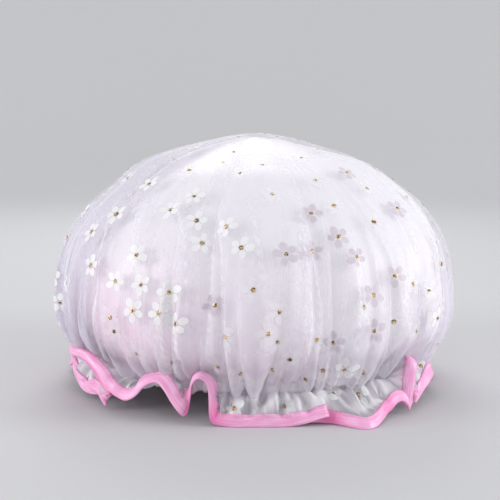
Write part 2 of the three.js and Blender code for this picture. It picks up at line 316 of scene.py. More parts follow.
def drift(rng, angle, least=2, most=11, terms=6):
    """A slow seeded wave round the cap: a sum of cosines of the angle, of about unit size."""
    counts = rng.integers(least, most, terms)
    phases = rng.uniform(0, turn, terms)
    return sum(np.cos(count * angle + phase) for count, phase in zip(counts, phases)) / np.sqrt(terms / 2)


def make_object(name, points, quads, triangles=None, uv=None):
    """An object from arrays: points, four-cornered faces, three-cornered faces and a UV per corner."""
    triangles = np.zeros((0, 3), int) if triangles is None else triangles
    mesh = bpy.data.meshes.new(name)
    corners_used = np.concatenate([quads.ravel(), triangles.ravel()])
    starts = np.concatenate([4 * np.arange(len(quads)), 4 * len(quads) + 3 * np.arange(len(triangles))])
    mesh.vertices.add(len(points))
    mesh.vertices.foreach_set("co", np.ascontiguousarray(points, np.float32).ravel())
    mesh.loops.add(len(corners_used))
    mesh.loops.foreach_set("vertex_index", corners_used.astype(np.int32))
    mesh.polygons.add(len(starts))
    mesh.polygons.foreach_set("loop_start", starts.astype(np.int32))
    mesh.polygons.foreach_set("use_smooth", np.ones(len(starts), bool))
    if uv is not None:
        mesh.uv_layers.new(name="UVMap").data.foreach_set("uv", np.ascontiguousarray(uv, np.float32).ravel())
    mesh.update(calc_edges=True)
    mesh.validate()
    made = put(name, mesh)
    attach(made, "root")
    return made


def wrapped_faces(rows, columns, ring_rows=False):
    """Quads of a grid that closes round its columns, and the unwrapped row and column of each corner."""
    steps = rows if ring_rows else rows - 1
    i, j = np.meshgrid(np.arange(steps), np.arange(columns), indexing="ij")
    at = [(i + di, j + dj) for di, dj in ((0, 0), (1, 0), (1, 1), (0, 1))]
    quads = np.stack([(row % rows) * columns + column % columns for row, column in at], axis=-1)
    places = np.stack([np.stack(pair, axis=-1) for pair in at], axis=2)
    return quads.reshape(-1, 4), places.reshape(-1, 2)


def store(obj, name, values):
    """Keeps one number per point on the mesh, for a material to read."""
    kept = obj.data.attributes.new(name, "FLOAT", "POINT")
    kept.data.foreach_set("value", np.ascontiguousarray(values, np.float32).ravel())


print("tools ready")

# %% [markdown]
# Both cloths are cut as flat discs. A folded disc is a grid with one point at the apex. Its UV map is
# the flat disc itself, in metres, so a weave keeps its real size however the cloth is folded.

# %% A folded disc of cloth


def disc_object(name, points, apex, angles, alongs):
    """A disc from rows of points that lie at flat distances from the apex and go round by flat angles."""
    rows, columns = points.shape[:2]
    quads = wrapped_faces(rows, columns)[0]
    ring = np.arange(columns)
    fan = np.stack([np.full(columns, rows * columns), ring, (ring + 1) % columns], axis=1)
    flat = np.stack([alongs[:, None] * np.sin(angles), -alongs[:, None] * np.cos(angles)], axis=-1)
    flat = np.vstack([flat.reshape(-1, 2), [0, 0]])
    uv = flat[np.concatenate([quads.ravel(), fan.ravel()])]
    return make_object(name, np.vstack([points.reshape(-1, 3), apex]), quads, fan, uv)


print("discs ready")

# %% [markdown]
# The edge of the ruffle is one closed curve about 1.6 m long, squeezed into a ring of 0.8 m, so it
# has to wave. On the side that the photograph shows, the curve goes through points that were read
# off the pink edge and cast back through the camera: an angle from the front in degrees, a radius and
# a height in mm, and how far the cloth leans out there. Where the edge folds over itself, the angle
# goes back for a while. The back has waves of the same kind, placed by a seeded draw.

# %% The hem of the ruffle
hem_front = [
    (-128, 131, 3, 12), (-120, 131, 14, 35), (-112, 128, 20, 50), (-105, 132, 12, 30),
    (-98, 137, 3, 25), (-95, 131, 10, 25), (-90, 129, 13.5, 10), (-84, 129, 13, 10), (-78, 129, 10, 10),
    (-70, 128, 5.5, 10), (-64, 128, 4, 10), (-59, 126, 4, 15), (-55, 123, 6, 20), (-57, 123, 8.5, 20),
    (-60.6, 127.5, 8.3, 15), (-56.5, 129, 8.6, 15), (-52.8, 129.5, 8.3, 15), (-51, 130, 6, 15),
    (-47.8, 131, 2.6, 15), (-46.8, 131, 8, 20), (-48.6, 131, 14, 20), (-52, 131, 19.7, 12),
    (-55.7, 131.5, 25.3, 5), (-60, 132, 28, 0), (-70, 130.5, 25, 0), (-80, 129, 20.5, 5),
    (-90, 128.5, 15.5, 5), (-81, 130.5, 21, 5), (-72, 132.5, 26, 0), (-65, 135, 29, 0),
    (-58.5, 137, 31.5, 0), (-53.5, 138, 32, 0), (-49.2, 137.5, 27.8, 5), (-46.4, 137, 22.5, 5),
    (-44.3, 136.5, 18, 10), (-42.2, 136, 14.3, 12), (-40.2, 135.5, 12.3, 15), (-37.3, 135, 11.2, 20),
    (-34.2, 134, 15, 30), (-31.5, 132.5, 22, 40), (-28.5, 131, 25, 52), (-26, 131, 21, 40),
    (-24, 131, 14.5, 25), (-21.8, 131, 8.5, 15), (-20.4, 129, 5, 12), (-19.2, 127.5, 8, 20),
    (-18.5, 128, 17, 35), (-17.4, 132, 26, 50), (-15.3, 134, 31, 60), (-13.6, 132, 28, 45),
    (-12.95, 130.7, 22, 25), (-12.8, 130.2, 13, 14), (-12.75, 129.8, 6, 10), (-11.9, 129, 2, 8),
    (-9, 128, 0.3, 6), (-4, 128, 0, 6), (0.4, 127.5, 0, 6), (6.2, 128, 0, 6), (10, 128.5, 0.4, 8),
    (14, 130, 2.2, 30), (17.5, 131, 4.6, 45), (19.9, 131, 5.3, 45), (19.8, 128, 4, 25),
    (17, 126, 2, 10), (15.2, 125.5, 1.2, 8), (18, 127, 1, 8), (21.5, 131, 0.6, 12), (24, 139, 0.2, 18),
    (26.6, 148, 0, 25), (29.5, 148, 0.2, 25), (33, 143, 1.6, 20), (36.4, 138, 3.6, 15),
    (39.3, 136, 5.6, 15), (41.6, 135.5, 8.5, 20), (43.2, 136.5, 8.6, 20), (44.4, 137.5, 5.5, 20),
    (45.0, 138, 1.8, 15), (45.9, 138, 6, 30), (46.9, 138.5, 19, 70), (48.0, 138, 30, 70),
    (49.2, 134, 31, 45), (49.8, 130, 20, 25), (49.4, 131, 8, 12), (50, 134, 4, 10), (52.5, 133, 5, 12),
    (56, 132, 8, 20), (61, 131.5, 11.5, 35), (65.5, 131, 14.5, 50), (69, 129, 13.5, 32),
    (72.5, 127, 9.5, 22), (76, 125, 5, 14)]
back_start, back_end, side_end = 79.0, 224.0, 108.0
wave_widths, wave_lows, wave_highs, wave_inners = (11, 16), (0, 3), (14, 27), (121, 127)
back_outs, side_outs, side_high_share = (128, 139), (122, 126), 0.5
grounded_share, lean_shares = 0.25, (-0.14, 0.14)


def back_hem():
    """Seeded waves: each goes low and out, then folds in and up, over 11 to 16 degrees."""
    rows = []
    rng = np.random.default_rng(5)
    angle = back_start
    while angle < back_end:
        at_side = angle <= side_end
        width = rng.uniform(*wave_widths)
        low = rng.uniform(*wave_lows) * (rng.random() > grounded_share)
        high = rng.uniform(*wave_highs) * (side_high_share if at_side else 1)
        out = rng.uniform(*(side_outs if at_side else back_outs))
        inner = rng.uniform(*wave_inners)
        lean = rng.uniform(*lean_shares)
        for share, radius, height, way in (
                (0, out - 2, low + 1, 12), (0.16, out, low, 20), (0.42 + lean, inner + 2, high * 0.55, 30),
                (0.5 + lean, inner + 1, high, 50), (0.68 - lean, inner + 3, high * 0.9, 45),
                (0.76 - lean, inner, high * 0.4, 20)):
            rows.append((angle + width * share, radius, height, way))
        angle += width
    return rows


columns = 960
lean_weight, level_blur, fall_blur = 0.1 * mm, 4 * mm, 1.5 * mm
hem_table = np.array(hem_front + back_hem(), float)
hem_angle, hem_lean = np.radians(hem_table[:, 0]), np.radians(hem_table[:, 3])
hem_points = polar(hem_angle, hem_table[:, 1] * mm, hem_table[:, 2] * mm)
# The lean goes through the curve as a fourth coordinate, too light to count as length.
hem_rows = np.column_stack([hem_points, hem_lean * lean_weight])
hem_curve, hem_length = smooth_curve(hem_rows, columns, closed=True)
edge, lean = hem_curve[:, :3], hem_curve[:, 3:] / lean_weight
edge[:, 2] = np.maximum(edge[:, 2], 0)
frequency = np.fft.fftfreq(columns, hem_length / columns)
print("hem", round(hem_length, 3), "m through", len(hem_table), "points")

# %% [markdown]
# At the hem the cloth falls square to the edge, in a plane that leans out from upright. Its outer
# face looks to the right of the hem's own level direction, also in a fold that turns back, so the way
# down is the hem's direction crossed with that face's normal.

# %% How the cloth falls to the hem


def blurred(values, size):
    """Smooths along the hem, the first axis, by a bell curve of the given length."""
    bell = np.exp(-2 * (np.pi * frequency * size) ** 2).reshape((columns,) + (1,) * (values.ndim - 1))
    return np.fft.ifft(np.fft.fft(values, axis=0) * bell, axis=0).real


def along_hem(points):
    """The way along each row of points: from the point before to the point after."""
    return np.roll(points, -1, axis=-2) - np.roll(points, 1, axis=-2)


def smooth_normals(normals, size):
    """Rows of unit vectors, smoothed along the hem."""
    return unit(blurred(unit(normals).transpose(1, 0, 2), size).transpose(1, 0, 2))


up = np.array([0, 0, 1.0])
level = unit(blurred(unit(along_hem(edge) * [1, 1, 0]), level_blur))
face = np.cross(level, up)
radial = unit(edge * [1, 1, 0] - np.append(axis, 0))
facing_out = np.sum(face * radial, axis=1, keepdims=True)
face_normal = unit(face * np.cos(lean) + up * np.sin(lean) * facing_out)
fall = unit(blurred(unit(np.cross(unit(along_hem(edge)), face_normal)), fall_blur))
print("the cloth falls by", round(-fall[:, 2].mean(), 2), "of its length on average")

# %% [markdown]
# Each thread of the cover runs from the apex, through the casing, to the hem. At the hem the threads
# are evenly spaced along the curve. At the casing they sit at the angle of that hem point once the
# waves are smoothed away, so the cloth is shared out evenly. Where the edge doubles back on the left,
# the threads double back too, and the cloth lies threefold there from the casing up to the apex. That
# is a fault of this way, because the real crown lies single.

# %% Where each thread passes the casing
spread_length = 18 * mm
start_angle = hem_angle[0]
even = start_angle + turn * np.arange(columns) / columns
edge_angle = np.unwrap(angle_of(edge))
thread_angle = even + blurred(edge_angle - even, spread_length)
thread_spread = np.gradient(thread_angle) * columns / turn
print("threads lie", np.round([thread_spread.min(), thread_spread.max()], 2), "times the mean apart")

# %% [markdown]
# The crown is a profile turned about the axis: nearly flat at the top, fullest low down, and tucked
# in under itself where the elastic gathers it. The profile is read off the silhouette, as shares of
# the crown's radius and height. The real crown isn't quite round: it is a little fuller high up on
# the left and a little flatter at both sides, and a few broad swells allow for that.

# %% The crown's profile
crown_shares = [
    (0.1, 0.992), (0.2, 0.973), (0.42, 0.914), (0.587, 0.858), (0.727, 0.772), (0.834, 0.687), (0.903, 0.601),
    (0.953, 0.517), (0.985, 0.403), (1, 0.261), (0.985, 0.155), (0.945, 0.086), (0.893, 0.043), (0.85, 0.016)]
profile_count = 600
half = [(share * crown_radius, casing_top + height * crown_height) for share, height in crown_shares]
half.append((cloth_radius, casing_top))
whole = [(-r, z) for r, z in reversed(half)] + [(0, apex_height)] + half
profile, whole_length = smooth_curve(whole, 2 * profile_count - 1)
profile = profile[profile_count - 1:]
crown_length = whole_length / 2
profile_at = np.linspace(0, crown_length, profile_count)
slope = np.gradient(profile, profile_at, axis=0)
slope[0] = (1, 0)
profile_normal = np.stack([-slope[:, 1], slope[:, 0]], axis=1)
casing_length = casing_top - casing_bottom
ruffle_length = 25 * mm
disc_radius = crown_length + casing_length + ruffle_length
# Each swell: its angle in degrees, its place as a share of the way down, its width in degrees, its
# length as a share and how far it stands out in mm.
swells = [(-95, 0.482, 40, 0.12, -3.0), (-60, 0.281, 50, 0.12, 1.5), (35, 0.482, 45, 0.241, -0.6),
          (80, 0.442, 40, 0.161, -1.5)]


def angle_gap(a, b):
    """The signed angle from b to a, within half a turn."""
    return (a - b + np.pi) % turn - np.pi


def bulges(table, angle, along):
    """Broad soft bulges: bell curves in angle and in share of the way from the apex to the casing."""
    total = 0
    for middle, place, wide, tall, amount in table:
        across = angle_gap(angle, np.radians(middle)) / np.radians(wide)
        down = (along / crown_length - place) / tall
        total = total + amount * mm * np.exp(-across ** 2 - down ** 2)
    return total


def on_profile(along):
    """Radius, height and outward normal of the profile at a distance from the apex."""
    values = np.column_stack([profile, profile_normal])
    return [np.interp(along, profile_at, column) for column in values.T]


print("apex to casing", round(crown_length / mm, 1), "mm, flat disc", round(2 * disc_radius, 3), "m across")

# %% [markdown]
# Gathers start as about 120 tiny pleats at the elastic and merge into fewer, wider folds higher up.
# Each size of fold has its own height where it is strongest. The folds are broad and rounded outside
# with sharp valleys between them, as puffed cloth is, and slow seeded waves bend and fade them.

# %% Gathers
# Each main fold: its count, the share of the way up where it is strongest, its depth in mm, how far
# it bends, and the waves, as count and phase, that bend it twice and fade it.
main_folds = [
    (27, 0.16, 2.3, 1.3, (3, 0.9), (7, 4.4), (5, 2.1)),
    (16, 0.265, 2.1, 1.2, (2, 4.0), (5, 1.2), (4, 0.4)),
    (9, 0.4, 1.6, 0.9, (2, 2.2), (4, 5.6), (3, 5.1))]
fold_fade, valley_softness, lobe_mean = 0.45, 0.03, 0.65
main_sway, main_sharpness, main_full = 0.8, 0.004, 2.6 * mm
# Each gather: its count, the rise in mm where it is strongest, and its depth in mm.
gathers = [(76, 12, 1.7), (49, 26, 1.65), (38, 44, 1.1)]
gather_sway, gather_sharpness, gather_full = 0.6, 0.012, 2.2 * mm
gather_fade, gather_bend = 0.5, 0.9
pleat_waves = [(76, 1.9), (118, 0.8)]
pleat_stand, pleat_deepest, pleat_reach = 1.3 * mm, -1 * mm, 22 * mm
pleat_drift, pleat_uneven, pleat_limits = 1.8, 0.3, (0.3, 1.6)


def lobe(phase):
    """A rounded wave with a sharp valley: the size of the cosine of half the phase, softened."""
    return 2 * (np.sqrt(np.cos(phase / 2) ** 2 + valley_softness) - lobe_mean)


def pinch(phase, sharpness):
    """1 in the valley between two lobes, where the cloth lies double, and nothing beside it."""
    return np.exp(-np.cos(phase / 2) ** 2 / sharpness)


def envelope(share):
    """Grows from nothing, is 1 where the share is 1, and dies away soon after."""
    return share * np.exp((1 - share ** 2) / 2)


def pleat_phase(count, angle):
    """The phase of a size of pleat: its own seeded drift makes the pleats uneven in width."""
    return count * angle + pleat_drift * drift(np.random.default_rng(count), angle)


def pleats(angle):
    """The tiny pleats that the elastic presses into the cloth."""
    rng = np.random.default_rng(11)
    total = pleat_stand + 0 * angle
    for count, depth in pleat_waves:
        uneven = np.clip(1 + pleat_uneven * drift(rng, angle, least=5, most=30), *pleat_limits)
        total = total + depth * mm * lobe(pleat_phase(count, angle)) * uneven
    return np.maximum(total, pleat_deepest)


def main_fold_waves(angle, rise):
    """Strength and phase of each size of main fold: the same formula as in the solids."""
    for count, peak, depth, bend, first, second, fade in main_folds:
        share = rise / (peak * crown_length)
        bending = bend * (np.cos(first[0] * angle + first[1]) + np.cos(second[0] * angle + second[1]))
        fading = 1 + fold_fade * np.cos(fade[0] * angle + fade[1])
        yield depth * mm * envelope(share) * fading, count * angle + bending


def fold_sizes(angle, rise):
    """Strength, phase, sideways share, sharpness and full depth of each size of fold."""
    for strength, phase in main_fold_waves(angle, rise):
        yield strength, phase, main_sway, main_sharpness, main_full
    rng = np.random.default_rng(3)
    for count, peak, depth in gathers:
        share = rise / (peak * mm)
        strength = depth * mm * envelope(share) * np.clip(1 + gather_fade * drift(rng, angle), 0, 2)
        phase = pleat_phase(count, angle) + gather_bend * drift(rng, angle) * share
        yield strength, phase, gather_sway, gather_sharpness, gather_full


def gather_waves(angle, rise):
    """Outward and sideways shift and doubled cloth, at an angle and at a rise above the casing."""
    outward = pleats(angle) * np.exp(-rise / pleat_reach)
    sideways, doubled = 0 * outward, 0 * outward
    for strength, phase, sway, sharpness, full in fold_sizes(angle, rise):
        outward = outward + strength * lobe(phase)
        sideways = sideways + sway * strength * np.sin(phase)
        doubled = doubled + pinch(phase, sharpness) * np.clip(strength / full, 0, 1)
    return outward, sideways, doubled


print(len(gathers) + len(main_folds), "sizes of fold, from", gathers[0][0], "to", main_folds[-1][0])

# %% [markdown]
# Some creases are the cap's own: upright ones, the sharpest right of the middle, the bend where the
# bright top turns into the shaded front, and the small wrinkles at the top. They are lines of pixels
# cast onto the crown. Others go all round, by a seeded draw. A crease is a bell curve across its line, and
# one below 0 mm is a groove. In a narrow crease the cloth lies double.

# %% Creases
# Each crease: its height in mm, its width in mm and the pixels that it passes.
crease_pixels = [
    (1.6, 2.4, [(296, 196), (298, 230), (299, 280), (298, 320), (297, 352)]),
    (1.5, 2.4, [(352, 232), (356, 262), (358, 300), (357, 330), (354, 356)]),
    (-1.4, 6.0, [(311, 205), (315, 250), (315, 300), (313, 340)]),
    (1.6, 9.0, [(150, 152), (196, 172), (240, 186), (300, 186), (330, 196), (370, 234), (376, 262)]),
    (1.2, 4.0, [(228, 142), (252, 152), (276, 150), (300, 158)]),
    (-1.2, 4.0, [(240, 160), (262, 164), (286, 168)]),
    (-2.2, 13.0, [(172, 165), (192, 172), (212, 182)]),
    (1.3, 3.5, [(178, 196), (184, 236), (186, 286), (190, 330)]),
    (1.1, 3.0, [(252, 206), (258, 250), (262, 300), (262, 345)]),
    (1.2, 3.5, [(120, 196), (106, 232), (98, 270), (97, 312), (104, 344)]),
    (1.1, 3.0, [(402, 214), (416, 250), (420, 290), (414, 326)]),
    (1.0, 3.0, [(142, 176), (138, 220), (136, 262), (141, 310)]),
    (-1.1, 4.0, [(220, 204), (224, 250), (226, 300), (228, 340)])]
seeded_creases, crease_starts, crease_lengths = 50, (4, 25), (40, 120)
crease_heights, crease_signs, crease_widths = (0.6, 1.3), [-1, 1, 1], (2.2, 4.5)
crease_leans, middle_lean = (-0.12, 0.12), 0.4
crease_points, crease_stretch, end_share, end_power = 14, 0.45, 0.06, 0.7
sharp_width, line_share, least_radius = 5.0, 0.3, 20 * mm
cast_reach, cast_step, cast_first, cast_rows = 120, 0.5, 2 * mm, 220
front_depth, depth_scale = 0.68, 0.01


def crown_grid(angles, alongs, outward=0, sideways=0):
    """Points of the crown: the profile turned by the angle, moved along its normal and round it."""
    radius, height, normal_out, normal_up = on_profile(alongs)
    lift = outward + bulges(swells, angles, alongs)
    turned = angles + sideways / np.maximum(radius, least_radius)
    return polar(turned, radius + normal_out * lift, height + normal_up * lift)


cast_angles = np.radians(np.arange(-cast_reach, cast_reach, cast_step))[None, :]
cast_alongs = np.linspace(cast_first, crown_length, cast_rows)[:, None]
cast_across, cast_down, cast_depth = project(crown_grid(cast_angles, cast_alongs))


def cast(pixels):
    """Angle and distance from the apex of the crown's nearest point, front side first, at each pixel."""
    found = []
    for across, down in pixels:
        farther = (cast_depth - front_depth) / depth_scale
        miss = (cast_across - across) ** 2 + (cast_down - down) ** 2 + farther ** 2
        row, column = np.unravel_index(np.argmin(miss), miss.shape)
        found.append((cast_angles[0, column], cast_alongs[row, 0]))
    return np.array(found)


def seeded_lines():
    """Upright creases round the whole cap, which start near the casing and lean a little."""
    rng = np.random.default_rng(29)
    lines = []
    for _ in range(seeded_creases):
        angle = rng.uniform(0, turn)
        low = crown_length - rng.uniform(*crease_starts) * mm
        high = low - rng.uniform(*crease_lengths) * mm
        lean = rng.uniform(*crease_leans)
        path = [(angle, low), (angle + lean * middle_lean, (low + high) / 2), (angle + lean, high)]
        height = rng.uniform(*crease_heights) * rng.choice(crease_signs)
        lines.append((height, rng.uniform(*crease_widths), np.array(path)))
    return lines


def crease_waves(angle, along):
    """The height of all creases: a bell curve of the distance to each line, fading at its ends."""
    radius = on_profile(along)[0]
    total = np.zeros(np.broadcast(angle, along).shape)
    doubled = np.zeros(total.shape)
    lines = [(height, width, cast(pixels)) for height, width, pixels in crease_pixels] + seeded_lines()
    for height, width, path in lines:
        best, fade = np.full(total.shape, np.inf), np.zeros(total.shape)
        for share, (path_angle, path_along) in zip(np.linspace(0, 1, crease_points),
                                                   smooth_curve(path, crease_points)[0]):
            gap = (angle_gap(angle, path_angle) * radius) ** 2 + (crease_stretch * (along - path_along)) ** 2
            nearer = gap < best
            here = np.sin(np.pi * np.clip(share, end_share, 1 - end_share)) ** end_power
            fade, best = np.where(nearer, here, fade), np.where(nearer, gap, best)
        total += height * mm * fade * np.exp(-best / (width * mm) ** 2)
        if width < sharp_width:
            doubled = np.maximum(doubled, fade * np.exp(-best / (line_share * width * mm) ** 2))
    return total, doubled


print(len(crease_pixels), "creases from the photograph and", seeded_creases, "seeded ones")

# %% [markdown]
# The cover is one disc of organza, about 0.55 m across, so it is one grid: from the apex down the
# crown, straight down the casing, then out along the ruffle to the hem. The crown comes first. Its
# rows lie closer where folds are small, and its folds die away at the apex, where all threads meet.

# %% The crown of the cover
crown_rows, row_power, first_row = 72, 1.45, 1.2 * mm
calm_reach, gather_double = 45 * mm, 0.5


def rows_down(count, power, first):
    """Distances from the apex to the casing, which get closer together near the casing."""
    rows = crown_length * (1 - np.linspace(1, 0, count) ** power)
    rows[0] = first
    return rows


def calm(along, reach):
    """Nothing at the apex, and 1 from the reach on: the square of the share of the way."""
    return np.clip(along / reach, 0, 1) ** 2


crown_at = rows_down(crown_rows, row_power, first_row)
crown_along = crown_at[:, None]
crown_rise = crown_length - crown_along
crown_out, crown_side, crown_double = gather_waves(thread_angle, crown_rise)
crease_out, crease_double = crease_waves(thread_angle[None, :], crown_along)
near_apex = calm(crown_along, calm_reach)
crown_out, crown_side = (crown_out + crease_out) * near_apex, crown_side * near_apex
crown_double = np.clip(gather_double * crown_double + crease_double, 0, 1) * near_apex
crown = crown_grid(thread_angle[None, :], crown_along, crown_out, crown_side)
print("crown folds from", round(crown_out.min() / mm, 1), "to", round(crown_out.max() / mm, 1), "mm")

# %% [markdown]
# Where the hem rises under the crown, the crown's underside is lifted to make room for it. Where
# there is room to spare, the puffed cloth sags over the casing, here more and there less.

# %% Room for the ruffle
binding_width, hem_inset = 8 * mm, 0.9 * mm
tape_room, crown_room, under_share, far_above = 1.5 * mm, 1 * mm, 0.72, 1.0
near_angle, no_need = np.radians(3), -20 * mm
room_most, room_blur, room_reach = 14 * mm, 9 * mm, 16 * mm
spare_most, spare_blur = 12 * mm, 3 * mm
sag, sag_uneven, sag_limits, sag_reach = 5 * mm, 0.5, (0.3, 2), 8 * mm


def hump(share):
    """Grows from nothing, is 1 where the share is 1, and dies away slowly."""
    return share * np.exp(1 - share)


top_of_tape = edge - fall * (binding_width + tape_room)
top_radius = np.hypot(top_of_tape[:, 0] - axis[0], top_of_tape[:, 1] - axis[1])
under = profile_at > crown_length * under_share
under_height = np.interp(top_radius, profile[under, 0][::-1], profile[under, 1][::-1], right=far_above)
need = top_of_tape[:, 2] + crown_room - under_height
near = np.abs(angle_gap(thread_angle[:, None], angle_of(top_of_tape)[None, :])) < near_angle
most_need = np.max(np.where(near, need[None, :], no_need), axis=1)
room = blurred(np.clip(most_need, 0, room_most), room_blur)
spare = blurred(np.clip(-most_need, 0, spare_most), spare_blur)
sag_drift = drift(np.random.default_rng(5), thread_angle, least=7, most=24)
sag_share = np.clip(1 + sag_uneven * sag_drift, *sag_limits)
sag_here = np.clip(np.minimum(sag * sag_share + pleats(thread_angle) - room, spare), 0, None)
crown[..., 2] += np.clip(room * hump(crown_rise / room_reach), 0, None)
crown[..., 2] -= sag_here * hump(crown_rise / sag_reach)
print("lifted by up to", round(room.max() / mm, 1), "mm, sags by up to", round(sag_here.max() / mm, 1), "mm")

# %% [markdown]
# The casing is a plain band with the pleats that the elastic presses into it. Below it each thread of
# the ruffle is a quadratic curve from the casing to the hem, and its middle point makes it arrive
# there along the fall. Gathers ride on that surface. Where they pinch or overlap, the sheer cloth
# lies double and looks whiter.

# %% The casing and the ruffle
casing_rows, ruffle_rows, edge_rows, fine_steps = 4, 14, 5, 40
bend_share, normal_blur, floor_gap = 0.5, 2.5 * mm, 0.3 * mm
# Each frill: its count and its depth in mm.
frills = [(48, 2.3), (83, 1.7), (140, 0.8)]
frill_drift, frill_bend, frill_uneven, frill_end_share, pleat_fade = 3.8, 2.2, 0.7, 0.8, 1.3
overlap, overlap_phase = 0.45, 0.8
casing_share = np.linspace(0, 1, casing_rows + 1)[1:, None]
casing_radius = cloth_radius + pleats(thread_angle)[None, :] + 0 * casing_share
casing = polar(thread_angle[None, :], casing_radius, casing_top - casing_share * casing_length)
cloth_edge = edge - fall * hem_inset
bend = cloth_edge - fall * ruffle_length * bend_share
fine_t = np.linspace(0, 1, fine_steps + 1)[:, None, None]
fine = casing[-1] * (1 - fine_t) ** 2 + 2 * bend * fine_t * (1 - fine_t) + cloth_edge * fine_t ** 2
fine_length = np.cumsum(np.linalg.norm(np.diff(fine, axis=0, prepend=fine[:1]), axis=2), axis=0)
full_length = fine_length[-1]
fine_normal = unit(np.cross(unit(np.gradient(fine, axis=0)), unit(along_hem(fine))))
fine_normal = smooth_normals(fine_normal, normal_blur)


def ruffle_waves(share):
    """Gathers of the ruffle: the casing's pleats die away while wider ones swell and fade."""
    rng = np.random.default_rng(17)
    wave, packed = pleats(thread_angle) * (1 - share) ** pleat_fade, 0 * share
    for count, depth in frills:
        phase = count * even + frill_drift * drift(rng, even) + frill_bend * share * drift(rng, even)
        uneven = np.clip(1 + frill_uneven * drift(rng, even, least=3, most=19), 0, 2)
        swelling = np.sin(np.pi * np.clip(share / frill_end_share, 0, 1)) * uneven
        wave = wave + depth * mm * lobe(phase) * swelling
        thick = pinch(phase, gather_sharpness) + overlap * np.clip(np.cos(phase + overlap_phase), 0, 1)
        packed = packed + thick * np.clip(swelling, 0, 1)
    return wave, np.clip(packed, 0, 1)


def along_ruffle(length):
    """Points of the ruffle at lengths from the casing, one row of lengths for each row of points."""
    share = length / full_length
    index = np.clip(np.sum(fine_length[None] <= length[:, None], axis=1) - 1, 0, fine_steps - 1)
    low, high = (np.take_along_axis(fine_length, index + step, axis=0) for step in (0, 1))
    mix = ((length - low) / (high - low))[..., None]
    found = []
    for grid in (fine, fine_normal):
        first, second = (np.take_along_axis(grid, index[..., None] + step, axis=0) for step in (0, 1))
        found.append(first * (1 - mix) + second * mix)
    return found[0] + unit(found[1]) * ruffle_waves(share)[0][..., None]


tape_depth = binding_width - hem_inset
ruffle_at = np.vstack([
    np.linspace(0, 1, ruffle_rows + 1)[1:, None] * (full_length - tape_depth),
    full_length - np.linspace(tape_depth, 0, edge_rows + 1)[1:, None]])
ruffle = along_ruffle(ruffle_at)
ruffle[..., 2] = np.maximum(ruffle[..., 2], floor_gap)
ruffle_share = ruffle_at / full_length
print("ruffle length", np.round(full_length.min() / mm, 1), "to", np.round(full_length.max() / mm, 1), "mm")

# %% [markdown]
# The three parts make one grid, which becomes a mesh. A number on each of its points says how far the
# cloth lies double there, so that the material can make it whiter: in the valleys of the folds, at
# the casing, and where the ruffle's edge folds back over itself right of the middle. There the same
# number also holds a painted highlight, where the cloth bulges toward the light.

# %% Mesh of the cover
double_casing, double_reach = 0.9, 14 * mm
ruffle_double_share, ruffle_fade_share = 0.2, 0.22
tip_angle, tip_wide, tip_double_and_highlight, tip_top_share = np.radians(16.5), np.radians(3.2), 0.8, 0.3
cover_points = np.concatenate([crown, casing, ruffle])
cover_rows = len(cover_points)
flat_along = np.concatenate([crown_at, crown_length + casing_length * casing_share[:, 0],
                             crown_length + casing_length + ruffle_length * ruffle_share.mean(axis=1)])
apex_point = crown_grid(np.zeros(1), np.zeros(1))
cover = disc_object("cover_organza", cover_points, apex_point, even, flat_along)
normals = np.empty(len(cover.data.vertices) * 3, np.float32)
cover.data.vertices.foreach_get("normal", normals)
cover_normals = normals.reshape(-1, 3)[:-1].reshape(cover_points.shape)
doubled = np.full((cover_rows, columns), double_casing)
doubled[:crown_rows] = crown_double + double_casing * np.exp(-crown_rise / double_reach)
# Right of the middle the edge folds back, so the cloth lies double, and a painted highlight is added on top,
# where the cloth bulges toward the light.
tip_fold_and_highlight = np.exp(-(angle_gap(angle_of(edge), tip_angle) / tip_wide) ** 2)
tip_cloth_and_highlight = tip_double_and_highlight * tip_fold_and_highlight * (tip_top_share + (1 - tip_top_share) * ruffle_share)
fading = ruffle_double_share + (1 - ruffle_double_share) * np.exp(-ruffle_share / ruffle_fade_share)
doubled[crown_rows + casing_rows:] = ruffle_waves(ruffle_share)[1] + double_casing * fading + tip_cloth_and_highlight
store(cover, "doubled", np.append(np.clip(doubled, 0, 1), 0))
print("cover grid", cover_rows, "rows by", columns, "columns,", len(cover.data.polygons), "faces")

# %% [markdown]
# The print follows the cloth. These helpers find a place of the flat disc again on the folded cover:
# first as a row and a column of its grid, then as a point, raised a little along the normal.

# %% Places on the folded cover
unwrapped = np.concatenate([thread_angle, thread_angle[:1] + turn])
row_margin = 0.001


def grid_place(angle, along):
    """Row and column, with fractions, of a material angle and a distance from the apex."""
    wrapped = (angle - thread_angle[0]) % turn + thread_angle[0]
    row = np.interp(along, flat_along, np.arange(cover_rows))
    return row, np.interp(wrapped, unwrapped, np.arange(columns + 1))


def on_grid(row, column, lift):
    """The cover's point at a fractional row and column, raised along the normal, and the normal."""
    row = np.clip(row, 0, cover_rows - 1 - row_margin)
    top, left = np.floor(row).astype(int), np.floor(column).astype(int)
    v, u = (row - top)[..., None], (column - left)[..., None]
    mixed = []
    for grid in (cover_points, cover_normals):
        a, b = grid[top, left % columns], grid[top, (left + 1) % columns]
        c, d = grid[top + 1, left % columns], grid[top + 1, (left + 1) % columns]
        mixed.append((a * (1 - u) + b * u) * (1 - v) + (c * (1 - u) + d * u) * v)
    normal = unit(mixed[1])
    return mixed[0] + normal * np.asarray(lift)[..., None], normal


def on_cover(angle, along, lift):
    """The raised point of the cover at a material angle and a distance from the apex."""
    return on_grid(*grid_place(angle, along), lift)[0]


print("first column at", round(np.degrees(thread_angle[0]), 1), "degrees")

# %% [markdown]
# The lining is a disc of soft film, cut smaller, so it hangs a little inside the cover and wrinkles
# by itself. Near the apex it lies closer. It meets the cover at the casing and ends there. It is kept
# clear of the cover everywhere, because a film that shows through the cloth would look like a stain.

